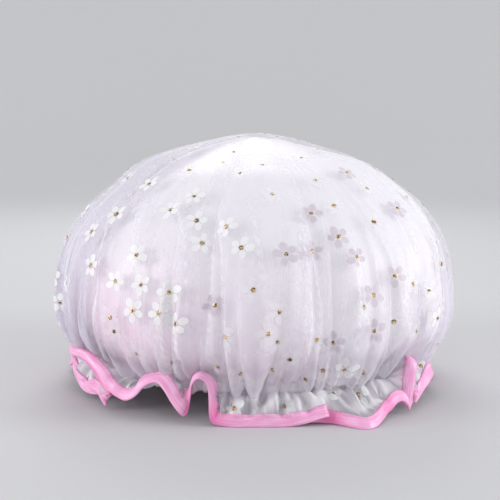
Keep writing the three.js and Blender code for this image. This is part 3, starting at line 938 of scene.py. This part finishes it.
# %% The waterproof lining
lining_columns, lining_crown_rows, lining_casing_rows = 480, 96, 5
lining_row_power, lining_first_row, film_short = 1.3, 1.5 * mm, 0.2 * mm
mean_slack, uneven_slack, slack_reach, film_gap = 5.4 * mm, 0.9 * mm, 22 * mm, 0.5 * mm
top_slack, top_reach = 2.2 * mm, 70 * mm
# Where the film hangs looser or, below 0, closer, in the columns of the swells.
loose_places = [
    (-90, 0.442, 32, 0.2, 2.7), (-90, 0.823, 17, 0.161, 4.3), (88, 0.783, 17, 0.161, 5.9),
    (170, 0.602, 60, 0.2, 2.7), (-98, 0.4, 34, 0.13, 6.5), (-92, 0.62, 30, 0.1, 3.0),
    (75, 0.36, 55, 0.26, -4.0), (175, 0.25, 60, 0.2, -2.5)]
# Each wrinkle: its count, the rise in mm where it is strongest, and its depth in mm.
wrinkles = [(118, 3, 0.5), (61, 14, 0.8), (37, 34, 0.5), (23, 62, 0.5)]
film_fold_share, wrinkle_fade, wrinkle_bend = 0.55, 0.5, 2.4
lining_angle = turn * np.arange(lining_columns) / lining_columns
lining_at = rows_down(lining_crown_rows, lining_row_power, lining_first_row)
lining_along = lining_at[:, None]
lining_rise = crown_length - lining_along
rng = np.random.default_rng(41)
slack = mean_slack + uneven_slack * drift(rng, lining_angle, least=1, most=5)
slack = slack + bulges(loose_places, lining_angle, lining_along)
opening_up = 1 - np.exp(-lining_rise / slack_reach)
film_out = -slack * opening_up - film_gap
for strength, phase in main_fold_waves(lining_angle, lining_rise):
    film_out = film_out + film_fold_share * strength * lobe(phase)
for count, peak, depth in wrinkles:
    share = lining_rise / (peak * mm)
    strength = depth * mm * envelope(share) * (1 + wrinkle_fade * drift(rng, lining_angle))
    phase = count * lining_angle + wrinkle_bend * drift(rng, lining_angle) * share
    film_out = film_out - strength * lobe(phase)
even_film = -film_gap - top_slack * opening_up
film_out = even_film + (film_out - even_film) * calm(lining_along, top_reach)
print("slack", round(float(-film_out.min()) / mm, 1), "mm at most")

# %% [markdown]
# The film's grid has its own columns, so what it must clear is read off the cover between columns.

# %% Keeping the film inside
order = np.argsort(thread_angle % turn)


def at_lining(values):
    """Numbers of the cover's columns, read at the angles of the lining's columns."""
    return np.interp(lining_angle, (thread_angle % turn)[order], values[order], period=turn)


cover_out_here = np.empty(film_out.shape)
for row in range(lining_crown_rows):
    level = np.interp(lining_at[row], crown_at, np.arange(crown_rows))
    low = int(min(level, crown_rows - 2))
    cover_out_here[row] = at_lining(crown_out[low] * (1 - level + low) + crown_out[low + 1] * (level - low))
film_out = np.minimum(film_out, cover_out_here - film_gap)
film_crown = crown_grid(lining_angle[None, :], lining_along, film_out)
film_crown[..., 2] += np.clip(at_lining(room) * hump(lining_rise / room_reach), 0, None)
film_share = np.linspace(0, 1, lining_casing_rows + 1)[1:, None]
film_radius = cloth_radius + pleats(lining_angle)[None, :] - film_gap + 0 * film_share
film_height = casing_top - film_share * (casing_length - film_short)
film_casing = polar(lining_angle[None, :], film_radius, film_height)
film_flat = np.concatenate([lining_at, crown_length + casing_length * film_share[:, 0]])
film_apex = crown_grid(np.zeros(1), np.zeros(1), film_out[0].mean())
film_points = np.concatenate([film_crown, film_casing])
lining = disc_object("lining_film", film_points, film_apex, lining_angle, film_flat)
print("lining", len(lining.data.polygons), "faces")

# %% [markdown]
# The binding is a satin tape, folded over the hem to a width of 8 mm and sewn through. It is built
# from the cover's own surface: its two legs lie about half a millimetre out and in from the cloth, and
# its fold lies just past the hem. The section is a closed thin ring, so the tape has thickness at its
# edges. Two numbers on its points say where it lies inside the fold and where the edge bends sharply
# in.

# %% The satin binding
leg_rows, leg_gap, satin_thickness, inner_share, tip_share = 6, 0.35 * mm, 0.3 * mm, 0.9, 0.7
leg_blur, pucker_depth, pucker_count, pucker_drift = 1.2 * mm, 0.25 * mm, 310, 4
hollow_steps, hollow_full, hollow_blur = 6, 4 * mm, 3 * mm
leg_base = along_ruffle(full_length - np.linspace(tape_depth, 0, leg_rows)[:, None])
leg_run = along_hem(leg_base)
leg_normal = smooth_normals(np.cross(np.broadcast_to(fall, leg_run.shape), leg_run), leg_blur)
pucker = pucker_depth * np.sin(pucker_count * even + pucker_drift * drift(np.random.default_rng(23), even))
pucker = pucker * np.sin(np.pi * np.linspace(0, 1, leg_rows))[:, None]


def leg(offset):
    """One face of the tape: the cloth's surface moved out or in."""
    return leg_base + leg_normal * (offset + np.sign(offset) * np.abs(pucker))[..., None]


outer_gap, inner_gap = leg_gap + satin_thickness, leg_gap * inner_share
tip_out, tip_in, tip_low = ((leg_base[-1] + fall * past)[None] for past in (
    hem_inset, hem_inset - satin_thickness, hem_inset * tip_share))
half_gap = leg_normal[-1:] * outer_gap * tip_share
section = np.concatenate([leg(outer_gap), tip_low + half_gap, tip_out, tip_low - half_gap,
                          leg(-outer_gap)[::-1], leg(-inner_gap), tip_in, leg(inner_gap)[::-1]])
section[..., 2] = np.maximum(section[..., 2], 0)
quads, places = wrapped_faces(len(section), columns, ring_rows=True)
outer_rows = 2 * leg_rows + 3
across_at = np.concatenate([np.linspace(0, 1, outer_rows), np.linspace(1, 0, len(section) - outer_rows), [0]])
tape_uv = np.stack([places[:, 1] * hem_length / columns, across_at[places[:, 0]] * 2 * binding_width], axis=1)
binding = make_object("binding_satin", section.reshape(-1, 3), quads, uv=tape_uv)
turning = np.roll(edge, -hollow_steps, axis=0) + np.roll(edge, hollow_steps, axis=0) - 2 * edge
hollow = np.clip(np.sum(turning * leg_normal[-1], axis=1) / hollow_full, 0, 1)
inside = np.zeros((len(section), columns))
inside[leg_rows + 2:] = 1
store(binding, "inside", inside)
store(binding, "hollow", np.broadcast_to(blurred(hollow, hollow_blur), inside.shape))
print("binding", len(binding.data.polygons), "faces, gap to the cloth", leg_gap / mm, "mm")

# %% [markdown]
# The elastic is a braided band, stretched round the mouth between the lining and a woven tape that
# is sewn on from the inside. Both are hidden from the front, but the mouth shows them from below.

# %% Elastic and casing tape
band_columns, band_waves, band_drift = 720, 118, 2
rounding_shares, rounding_power = (0.12, 0.88), 0.3
elastic_thick, elastic_wave = 0.8 * mm, 0.08 * mm
tape_inset, tape_thick, tape_wave = 0.4 * mm, 0.35 * mm, 0.15 * mm
band_angle = turn * np.arange(band_columns) / band_columns


def band(name, inner_radius, thickness, low, high, wave_depth, rows):
    """A closed flat ring with rounded edges and a small in-and-out wave, the same on both faces."""
    rng = np.random.default_rng(len(name))
    wave = wave_depth * np.sin(band_waves * band_angle + band_drift * drift(rng, band_angle))
    heights = np.linspace(low, high, rows)[:, None]
    rounding = np.sin(np.pi * np.linspace(*rounding_shares, rows))[:, None] ** rounding_power
    middle = inner_radius + thickness / 2 + wave * rounding
    outer, inner = (polar(band_angle, middle + way * thickness / 2 * rounding, heights + 0 * band_angle)
                    for way in (1, -1))
    ring = np.concatenate([outer[::-1], inner])
    quads, places = wrapped_faces(len(ring), band_columns, ring_rows=True)
    up = np.concatenate([heights[::-1, 0], heights[:, 0], heights[-1:, 0]])
    uv = np.stack([places[:, 1] * turn * inner_radius / band_columns, up[places[:, 0]]], axis=1)
    return make_object(name, ring.reshape(-1, 3), quads, uv=uv)


elastic = band("elastic_braid", elastic_radius - elastic_thick, elastic_thick,
               elastic_low[2], elastic_high[2], elastic_wave, rows=7)
casing_tape = band("casing_tape_woven", tape_radius - tape_inset, tape_thick,
                   casing_bottom, casing_top, tape_wave, rows=9)
print("elastic", len(elastic.data.polygons), "faces, tape", len(casing_tape.data.polygons))

# %% [markdown]
# Stitches are single short loops of thread, each a small capsule that dips at both ends. They are one
# mesh per row: a template of thirty faces, copied by arrays along the tape. The print further down is
# copied from its templates in the same way.

# %% One stitch
stitch_sides, stitch_pitch, stitch_share, thread_radius, stitch_dip = 6, 3 * mm, 0.72, 0.3 * mm, 0.4
# Each station of a stitch: its share of the length and its share of the thread's thickness.
station_shares = [(0.0, 0.0), (0.1, 0.75), (0.35, 1.0), (0.65, 1.0), (0.9, 0.75), (1.0, 0.0)]


def ring_faces(sides, rings):
    """Quads between rings of points, and a fan that joins the first ring to the point before it."""
    ring = np.arange(sides)
    following = (ring + 1) % sides
    quads = [np.stack([near + ring, near + following, near + sides + following, near + sides + ring], axis=1)
             for near in 1 + sides * np.arange(rings - 1)]
    return np.concatenate(quads), np.stack([np.zeros(sides, int), 1 + following, 1 + ring], axis=1)


def stitch_template():
    """Points as station, side and ring place; the first and last station are single points."""
    angles = turn * np.arange(stitch_sides) / stitch_sides
    points = [(0, 0, 0)]
    for station, size in station_shares[1:-1]:
        points += [(station, size * np.cos(angle), size * np.sin(angle)) for angle in angles]
    points.append((1, 0, 0))
    quads, fan = ring_faces(stitch_sides, len(station_shares) - 2)
    last = len(points) - 1
    ring = last - stitch_sides + np.arange(stitch_sides)
    far_fan = np.stack([np.full(stitch_sides, last), ring, np.roll(ring, -1)], axis=1)
    return np.array(points), quads, np.concatenate([fan, far_fan])


def scatter(name, points, quads, fans):
    """One object from many copies: points by copy, and the template's faces repeated."""
    copies, size = points.shape[:2]
    shift = (np.arange(copies) * size)[:, None, None]
    quads, fans = (quads + shift).reshape(-1, 4), (fans + shift).reshape(-1, 3)
    return make_object(name, points.reshape(-1, 3), quads, fans)


def stitch_row(name, starts, ends, outward):
    """Stitches from start to end points, with the thread's middle raised along outward."""
    template, quads, fans = stitch_template()
    along = ends - starts
    side = unit(np.cross(outward, along))
    station = template[None, :, :1]
    raised = outward[:, None] * (np.sin(np.pi * station) - stitch_dip + template[None, :, 2:]) * thread_radius
    across = side[:, None] * template[None, :, 1:2] * thread_radius
    return scatter(name, starts[:, None] + along[:, None] * station + across + raised, quads, fans)


print(len(stitch_template()[0]), "points in a stitch")

# %% [markdown]
# The binding's row shows on both faces, 0.7 mm from the tape's upper edge. Two rows of white stitches
# hold the casing tape.

# %% Rows of stitches
stitch_level, thread_stand = 0.7 * mm, 0.1 * mm
stitch_count = int(hem_length / stitch_pitch)
begins = np.arange(stitch_count) * columns / stitch_count
finishes = begins + stitch_share * columns / stitch_count


def on_hem(values, where):
    """Vectors of the columns of one row, read at fractional columns."""
    wrap = np.arange(columns + 1)
    return np.stack([np.interp(where % columns, wrap, np.append(part, part[0])) for part in values.T], axis=1)


def binding_row(name, sign):
    """A row of pink stitches on the outer or the inner face of the binding."""
    level = stitch_level / (tape_depth / (leg_rows - 1))
    surface = leg(sign * outer_gap)
    line = surface[0] * (1 - level) + surface[1] * level
    facing = sign * (leg_normal[0] * (1 - level) + leg_normal[1] * level)
    return stitch_row(name, on_hem(line, begins), on_hem(line, finishes), unit(on_hem(facing, begins)))


def casing_row(name, height):
    """A row of white stitches on the inside of the casing tape."""
    radius = tape_radius - tape_inset - thread_stand
    count = int(turn * radius / stitch_pitch)
    start = turn * np.arange(count) / count
    end = start + stitch_share * turn / count
    inward = np.append(axis, 0) - polar(start, 1.0, 0.0)
    return stitch_row(name, polar(start, radius, height), polar(end, radius, height), inward)


outer_stitches = binding_row("stitches_binding_outer", 1)
inner_stitches = binding_row("stitches_binding_inner", -1)
casing_rows_made = [casing_row("stitches_casing_upper", casing_top - stitch_level),
                    casing_row("stitches_casing_lower", casing_bottom + stitch_level)]
print(stitch_count, "stitches on each face of the binding")

# %% [markdown]
# The print is a small white flower of five oval petals with a dot of gold glitter in the middle. The
# petals are patches that lie on the cloth and follow its folds. On the side that the camera sees,
# each flower is where the photograph has it. The rest are drawn by chance, in loose clusters, their
# middles at least 14.5 mm apart, about a flower's own width.

# %% Where the flowers are
# Each flower: its pixel across and down, and 1 if its petals show clearly or 0 if they hardly do.
flower_pixels = [
    (127, 178, 1), (148.5, 183, 1), (189, 168, 0), (193, 147, 1), (233, 151, 0), (237, 137, 0),
    (222, 162, 1), (239.5, 174, 0), (194, 194, 1), (170.5, 211, 1), (197, 218, 1), (224.5, 225, 1),
    (201, 242.5, 1), (242, 246.6, 1), (115, 216, 1), (90, 233, 1), (88, 209, 1), (104, 199, 0),
    (137, 255, 1), (89.5, 266.6, 1), (116, 280, 1), (140.5, 283.6, 1), (68, 283, 1), (170, 295, 1),
    (254.6, 292, 0), (132, 309, 1), (90.5, 315, 0), (110.6, 317, 0), (159, 315, 1), (175, 325, 1),
    (226, 336, 0), (115, 332, 0), (137, 354, 0), (171.5, 361, 0), (217.5, 366.6, 0), (240.6, 374, 0),
    (124, 393, 1), (234, 408, 1), (59.6, 302.5, 1), (66.7, 236.5, 1), (278, 135, 0), (318.5, 149, 0),
    (302, 157, 0), (262, 163.5, 0), (368, 189.5, 0), (316, 182, 0), (358, 157, 0), (272, 196, 0),
    (407, 196, 0), (425, 204, 0), (334.6, 206, 0), (419, 217, 0), (374, 221, 0), (435, 241, 0),
    (441, 263, 0), (414.5, 286, 0), (429, 289, 0), (327.6, 307.6, 0), (365, 308.6, 0), (278.6, 313, 0),
    (394, 324, 0), (418, 330.5, 0), (440.5, 304.5, 0), (437.5, 318, 1), (267, 334, 0), (277.5, 341.5, 0),
    (317, 341, 0), (289, 359, 0), (272, 369, 0), (323, 369, 0), (346, 369, 1), (364, 373, 0),
    (307, 380, 0), (283, 406, 0), (335, 393, 1), (358, 395, 1), (437.5, 345, 0), (421, 365, 0)]
# These petals get painted shade: they are grey, as print seen against the light, so only the pixel is given.
backlit_pixels = [
    (312, 214), (313, 251), (285.6, 254), (339, 234.5), (357.6, 257), (395, 276), (374, 297.5), (373.6, 331),
    (333, 343), (348, 173), (399, 209.5), (215, 304.6)]
flower_total, flower_gap, cluster_reach, lone_chance = 215, 14.5 * mm, 27 * mm, 0.25
clear_faint, pale_faint, backlit_faint, seeded_faint = 0.12, 0.72, 0.2, 0.5
front_cosine, view_least, print_reach_share = 0.25, 0.06, 0.985
facing_least, height_least, unseen_miss, pixel_slack = 0.02, 2 * mm, 1e6, 1.5
grid_across, grid_down, grid_depth = project(cover_points)
facing_eye = np.sum(cover_normals * unit(eye - cover_points), axis=2)
seen = (facing_eye > facing_least) & (cover_points[..., 2] > height_least)


def nearest_place(across, down):
    """The front-facing grid point nearest to a pixel, as material angle and flat distance."""
    miss = (grid_across - across) ** 2 + (grid_down - down) ** 2 + np.where(seen, 0, unseen_miss)
    close = miss < miss.min() + pixel_slack
    row, column = np.unravel_index(np.argmin(np.where(close, grid_depth, np.inf)), miss.shape)
    return thread_angle[column], flat_along[row]


def scatter_flowers(placed):
    """Adds seeded flowers where the camera doesn't look, most of them near another flower."""
    rng = np.random.default_rng(7)
    spots = [on_cover(np.array(a), np.array(s), 0.0) for a, s in placed]
    while len(placed) < flower_total:
        angle, along = rng.uniform(0, turn), disc_radius * print_reach_share * np.sqrt(rng.random())
        spot, normal = on_grid(*grid_place(np.array(angle), np.array(along)), 0.0)
        away = np.linalg.norm(np.array(spots) - spot, axis=1).min()
        hidden = np.dot(normal, unit(eye - spot)) < view_least and np.cos(angle) < front_cosine
        if away < flower_gap or not hidden or (away > cluster_reach and rng.random() < 1 - lone_chance):
            continue
        placed.append((angle, along))
        spots.append(spot)
    return placed


pixel_places = [nearest_place(*pixel[:2]) for pixel in flower_pixels + backlit_pixels]
flowers = np.array(scatter_flowers(list(pixel_places)))
flower_faint = np.random.default_rng(19).uniform(0, seeded_faint, len(flowers))
flower_faint[:len(flower_pixels)] = [clear_faint if clear else pale_faint for *_, clear in flower_pixels]
# Painted shade: the petals of these flowers are grey, as print seen against the light.
flower_backlit_shade = np.zeros(len(flowers))
flower_backlit_shade[len(flower_pixels):len(pixel_places)] = 1
flower_faint[flower_backlit_shade > 0] = backlit_faint
print(len(flowers), "flowers,", len(pixel_places), "of them from the photograph")

# %% [markdown]
# A printed shape is drawn flat and then carried onto the folds: each offset from the flower's middle
# is turned into an angle and a distance on the flat disc, allowing for how closely the threads lie
# there, and that place is found again on the folded cover.

# %% Carrying the print onto the folds
petal_sides, petal_rings, spacing_steps = 12, 3, 3
spacing_limits, radius_least, rim_gap = (0.8, 3), 1 * mm, 0.5 * mm


def disc_template(sides, rings):
    """A disc of unit radius: its middle, rings of points, bands of quads and a fan."""
    angles = turn * np.arange(sides) / sides
    ring = np.stack([np.sin(angles), np.cos(angles)], axis=1)
    return np.vstack([[0, 0]] + [ring * k / rings for k in range(1, rings + 1)]), *ring_faces(sides, rings)


around = angle_of(cover_points)
spacing = angle_gap(np.roll(around, -spacing_steps, axis=1), np.roll(around, spacing_steps, axis=1))
spacing = spacing / angle_gap(np.roll(thread_angle, -spacing_steps), np.roll(thread_angle, spacing_steps))
spacing[crown_rows:] = 1
spacing[0] = 1
ruffle_radius = cloth_radius + (hem_length / turn - cloth_radius) * ruffle_share.mean(axis=1)
casing_radii = np.full(casing_rows, cloth_radius)
effective_radius = np.concatenate([on_profile(crown_at)[0], casing_radii, ruffle_radius])


def carry(places, across, down, lift):
    """Moves flat offsets, in metres, onto the folded cover round each flower's place."""
    angle, along = places[:, :1], places[:, 1:]
    row, column = grid_place(angle, along)
    local = spacing[np.round(row).astype(int), np.round(column).astype(int) % columns]
    radius = np.maximum(np.interp(along, flat_along, effective_radius), radius_least)
    wider = across * along / (radius * np.clip(local, *spacing_limits))
    new_along = np.hypot(wider, along + down)
    new_angle = angle + np.arctan2(wider, along + down)
    return on_cover(new_angle, np.minimum(new_along, disc_radius - rim_gap), lift)


template, petal_quads, petal_fan = disc_template(petal_sides, petal_rings)
print(len(template), "points in a petal")

# %% [markdown]
# A petal is an oval of three rings of points round its middle, 5.7 by 4.5 mm, and its middle is
# 4.7 mm from the flower's. Flowers differ a little in turn and size, and so do their petals.

# %% Petals
petal_count, petal_long, petal_wide, petal_out, print_lift = 5, 2.85 * mm, 2.25 * mm, 4.7 * mm, 0.16 * mm
flower_sizes, petal_sizes, petal_sway = (0.9, 1.08), (0.92, 1.08), 0.06
rng = np.random.default_rng(13)
flower_turn = rng.uniform(0, turn, len(flowers))
flower_size = rng.uniform(*flower_sizes, len(flowers))
petal_turn = flower_turn[:, None] + turn * np.arange(petal_count) / petal_count
petal_turn = (petal_turn + rng.normal(0, petal_sway, petal_turn.shape)).reshape(-1, 1)
petal_size = np.repeat(flower_size, petal_count)[:, None] * rng.uniform(*petal_sizes, petal_turn.shape)
long_way = petal_size * (petal_out + template[None, :, 1] * petal_long)
wide_way = petal_size * template[None, :, 0] * petal_wide
petal_across = long_way * np.sin(petal_turn) + wide_way * np.cos(petal_turn)
petal_down = long_way * np.cos(petal_turn) - wide_way * np.sin(petal_turn)
petal_points = carry(np.repeat(flowers, petal_count, axis=0), petal_across, petal_down, print_lift)
petals = scatter("print_petals", petal_points, petal_quads[:, ::-1], petal_fan[:, ::-1])
for name, numbers in (("grey", flower_backlit_shade), ("faint", flower_faint)):
    store(petals, name, np.repeat(numbers, petal_count * len(template)))
print("petals", len(petals.data.polygons), "faces")

# %% [markdown]
# The gold dot of a flower is a low dome of small facets, 3 mm across, each facet at its own slant. It
# is stiff, so it is set square to the cloth and doesn't bend with it.

# %% Gold dots
dot_radius, dot_height, dot_base, dot_least = 1.5 * mm, 0.25 * mm, 0.12 * mm, 0.18 * mm
dot_sizes, dot_grains = (0.85, 1.1), (-0.12, 0.2)
dot_template, dot_quads, dot_fan = disc_template(petal_sides, petal_rings)
dot_size = (flower_size * rng.uniform(*dot_sizes, len(flowers)))[:, None] * dot_radius
grain = rng.uniform(*dot_grains, (len(flowers), len(dot_template))) * mm
dome = dot_height * (1 - np.sum(dot_template ** 2, axis=1)) + dot_base + grain
dot_middle, dot_out = on_grid(*grid_place(flowers[:, 0], flowers[:, 1]), np.zeros(len(flowers)))
dot_across = unit(np.cross(up, dot_out))
dot_down = np.cross(dot_across, dot_out)
dot_points = (dot_middle[:, None] + (dot_size * dot_template[:, 0])[..., None] * dot_across[:, None]
              + (dot_size * dot_template[:, 1])[..., None] * dot_down[:, None]
              + np.maximum(dome, dot_least)[..., None] * dot_out[:, None])
dots = scatter("print_glitter", dot_points, dot_quads[:, ::-1], dot_fan[:, ::-1])
dots.data.polygons.foreach_set("use_smooth", np.zeros(len(dots.data.polygons), bool))
print("dots", len(dots.data.polygons), "faces")

# %% [markdown]
# Two effects are shared by several materials, so each is a node group. The weave is two crossed
# waves on the flat cloth's own UV map: it gives a bump height and a mask of threads. The mottle is a
# soft noise on object coordinates, for the small differences that any cloth has.

# %% Shared shader groups


def new_group(name, inputs, outputs):
    """An empty shader group with number inputs, each with a default, and number outputs."""
    group = bpy.data.node_groups.new(name, "ShaderNodeTree")
    for socket, value in inputs.items():
        number = group.interface.new_socket(socket, in_out="INPUT", socket_type="NodeSocketFloat")
        number.default_value = value
    for socket in outputs:
        group.interface.new_socket(socket, in_out="OUTPUT", socket_type="NodeSocketFloat")
    return group, group.nodes.new("NodeGroupInput"), group.nodes.new("NodeGroupOutput")


def use_group(tree, group, **values):
    """A shader group placed in a material, with some of its inputs set."""
    node = tree.nodes.new("ShaderNodeGroup")
    node.node_tree = group
    return set_inputs(node, **values).outputs


def add_bump(tree, height, shader, strength, depth):
    """Tilts the shader's normal by a height."""
    bump = add(tree, "ShaderNodeBump", Strength=strength, Distance=depth, Height=height)
    set_inputs(shader, Normal=bump.outputs["Normal"])


weave, weave_in, weave_out = new_group("weave", {"Threads per metre": 1500.0}, ["Height", "Thread"])
weave_uv = add(weave, "ShaderNodeSeparateXYZ", Vector=weave.nodes.new("ShaderNodeUVMap").outputs["UV"])
waves = []
for part in ("X", "Y"):
    scaled = calculate(weave, "MULTIPLY", weave_uv.outputs[part], weave_in.outputs["Threads per metre"])
    wave = calculate(weave, "SINE", calculate(weave, "MULTIPLY", scaled, float(turn)))
    waves.append(calculate(weave, "ABSOLUTE", wave))
both = calculate(weave, "MULTIPLY", calculate(weave, "ADD", *waves), 0.5)
set_inputs(weave_out, Height=both, Thread=calculate(weave, "MAXIMUM", *waves))

mottle, mottle_in, mottle_out = new_group("mottle", {"Scale": 60.0}, ["Value"])
mottle_noise = add(mottle, "ShaderNodeTexNoise", Vector=object_place(mottle),
                   Scale=mottle_in.outputs["Scale"], Detail=3.0, Roughness=0.55)
set_inputs(mottle_out, Value=mottle_noise.outputs[0])
print("shader groups", weave.name, mottle.name)

# %% [markdown]
# Organza is mostly holes: the light that misses its threads goes straight through, so it is partly
# transparent, with a soft shine. Where it lies double it is denser and whiter, and on the ruffle
# right of the middle a painted highlight is added the same way. The film under it is milky, with a
# painted pink reflection of the binding low on the left.

# %% Organza and film
single_colour, double_colour, double_alpha = (0.8, 0.76, 0.87, 1), (0.97, 0.935, 0.985, 1), 0.5
film_colour, reflected_pink = (0.93, 0.92, 0.94, 1), (0.99, 0.66, 0.82, 1)
noise_range, thread_range, thread_alphas, patch_alphas = (0.35, 0.65), (0.3, 1), (0.245, 0.27), (0.9, 1.1)
reflection_heights, reflection_sides = (0.03, 0.12), (-0.1, 0.06)
organza, tree, shader = new_material("organza", Roughness=0.55, Sheen_Weight=0.5, Sheen_Roughness=0.35,
                                     Specular_IOR_Level=0.35)
threads = use_group(tree, weave, Threads_per_metre=1100.0)
patches = use_group(tree, mottle, Scale=38.0)
cover_alpha = calculate(tree, "MULTIPLY", remap(tree, threads["Thread"], *thread_range, *thread_alphas),
                        remap(tree, patches["Value"], *noise_range, *patch_alphas))
# The number holds doubled cloth, and on the ruffle right of the middle a painted highlight too.
doubled_and_tip_highlight = stored(tree, "doubled")
denser = calculate(tree, "MULTIPLY", doubled_and_tip_highlight, double_alpha)
set_inputs(shader, Alpha=calculate(tree, "ADD", cover_alpha, denser),
           Base_Color=mix_colours(tree, doubled_and_tip_highlight, single_colour, double_colour))
add_bump(tree, threads["Height"], shader, 0.03, 0.2 * mm)

film, tree, shader = new_material("lining_film", Roughness=0.38, Specular_IOR_Level=0.45)
patches = use_group(tree, mottle, Scale=22.0)
film_place = add(tree, "ShaderNodeSeparateXYZ", Vector=object_place(tree)).outputs
# Painted reflection: the binding's pink, mixed into the film low down and more on the left, in patches.
reflection_low = remap(tree, film_place["Z"], *reflection_heights, 1, 0.05)
sideways = remap(tree, film_place["X"], *reflection_sides, 1, 0.15)
patchy = remap(tree, patches["Value"], *noise_range, 0.5, 1)
pink_reflection = calculate(tree, "MULTIPLY", calculate(tree, "MULTIPLY", reflection_low, sideways), patchy)
set_inputs(shader, Base_Color=mix_colours(tree, pink_reflection, film_colour, reflected_pink))
print("made", organza.name, "and", film.name)

# %% [markdown]
# Satin is smooth along its length and shows fine bright streaks of sheen that way. They are painted
# sheen in its colour, from a noise stretched along the tape, and the same noise bumps it. Deep in the
# folds light bounces from pink to pink, so the colour gets hotter there.

# %% Satin
sheen_streak_dark, sheen_streak_bright, deep_pink = (0.88, 0.33, 0.62, 1), (0.96, 0.56, 0.8, 1), (0.84, 0.1, 0.4, 1)
hollow_share, inside_share = 0.75, 0.55
satin, tree, shader = new_material("satin_binding", Roughness=0.36, Specular_IOR_Level=0.5)
stretch = add(tree, "ShaderNodeMapping", Vector=tree.nodes.new("ShaderNodeUVMap").outputs["UV"],
              Scale=(60.0, 1500.0, 1.0))
sheen_streaks = add(tree, "ShaderNodeTexNoise", Vector=stretch.outputs["Vector"], Scale=1.0, Detail=2.0).outputs[0]
# Painted sheen: bright streaks along the tape.
sheen_streak_colour = mix_colours(tree, remap(tree, sheen_streaks, *noise_range, 0, 1), sheen_streak_dark, sheen_streak_bright)
deep = calculate(tree, "MAXIMUM", calculate(tree, "MULTIPLY", stored(tree, "hollow"), hollow_share),
                 calculate(tree, "MULTIPLY", stored(tree, "inside"), inside_share))
set_inputs(shader, Base_Color=mix_colours(tree, deep, sheen_streak_colour, deep_pink))
add_bump(tree, sheen_streaks, shader, 0.22, 0.2 * mm)
print("made", satin.name)

# %% [markdown]
# The print is matt white ink, more or less faint, with painted shade: grey petals, as print seen
# against the light. The glitter is gold facets with dark gaps.
# The elastic and the tape share the organza's weave, with fewer threads to the metre.

# %% Print, glitter, elastic and thread
white_ink, backlit_shade_ink = (0.91, 0.91, 0.92, 1), (0.66, 0.59, 0.66, 1)
gold, dark_gap = (0.88, 0.66, 0.34, 1), (0.1, 0.065, 0.03, 1)
petal, tree, shader = new_material("print_white", Roughness=0.5)
# Painted shade: grey petals stand for print seen against the light.
set_inputs(shader, Base_Color=mix_colours(tree, stored(tree, "grey"), white_ink, backlit_shade_ink),
           Alpha=remap(tree, stored(tree, "faint"), 0, 1, 0.88, 0.1))

glitter, tree, shader = new_material("gold_glitter", Metallic=0.6, Roughness=0.35)
specks = add(tree, "ShaderNodeTexVoronoi", Vector=object_place(tree), Scale=1300.0)
channel = add(tree, "ShaderNodeSeparateColor", Color=specks.outputs["Color"]).outputs[0]
set_inputs(shader, Base_Color=mix_colours(tree, remap(tree, channel, 0.3, 0.7, 0, 1), dark_gap, gold))

braid, tree, shader = new_material("elastic", Roughness=0.75, Base_Color=(0.86, 0.86, 0.86, 1))
add_bump(tree, use_group(tree, weave, Threads_per_metre=400.0)["Height"], shader, 0.6, 0.4 * mm)
woven, tree, shader = new_material("casing_tape", Roughness=0.8, Base_Color=(0.86, 0.84, 0.86, 1))
add_bump(tree, use_group(tree, weave, Threads_per_metre=800.0)["Height"], shader, 0.5, 0.3 * mm)
white_thread = new_material("white_thread", Roughness=0.7, Base_Color=(0.9, 0.9, 0.9, 1))[0]
pink_thread = new_material("pink_thread", Roughness=0.6, Base_Color=(0.9, 0.45, 0.66, 1))[0]
print("made", petal.name, glitter.name, braid.name, woven.name, white_thread.name, pink_thread.name)

# %% [markdown]
# Last, each piece gets its material, and the CAD solids are hidden. Gathering takes away width,
# but no cloth.

# %% Materials
dressed = [
    (cover, organza, "organza"), (lining, film, "lining_film"), (elastic, braid, "elastic"),
    (casing_tape, woven, "casing_tape"), (binding, satin, "satin_binding"),
    (outer_stitches, pink_thread, "pink_thread"), (inner_stitches, pink_thread, "pink_thread"),
    (casing_rows_made[0], white_thread, "white_thread"), (casing_rows_made[1], white_thread, "white_thread"),
    (petals, petal, "organza"), (dots, glitter, "organza")]
for piece, material, slot in dressed:
    piece.data.materials.append(material)
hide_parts("organza_cover")
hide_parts("waterproof_lining")
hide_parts("elastic_band")
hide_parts("elastic_casing_tape")
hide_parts("casing_stitch_upper")
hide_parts("casing_stitch_lower")
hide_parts("hem_binding")
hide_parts("binding_stitch")

print(len(dressed), "pieces dressed")
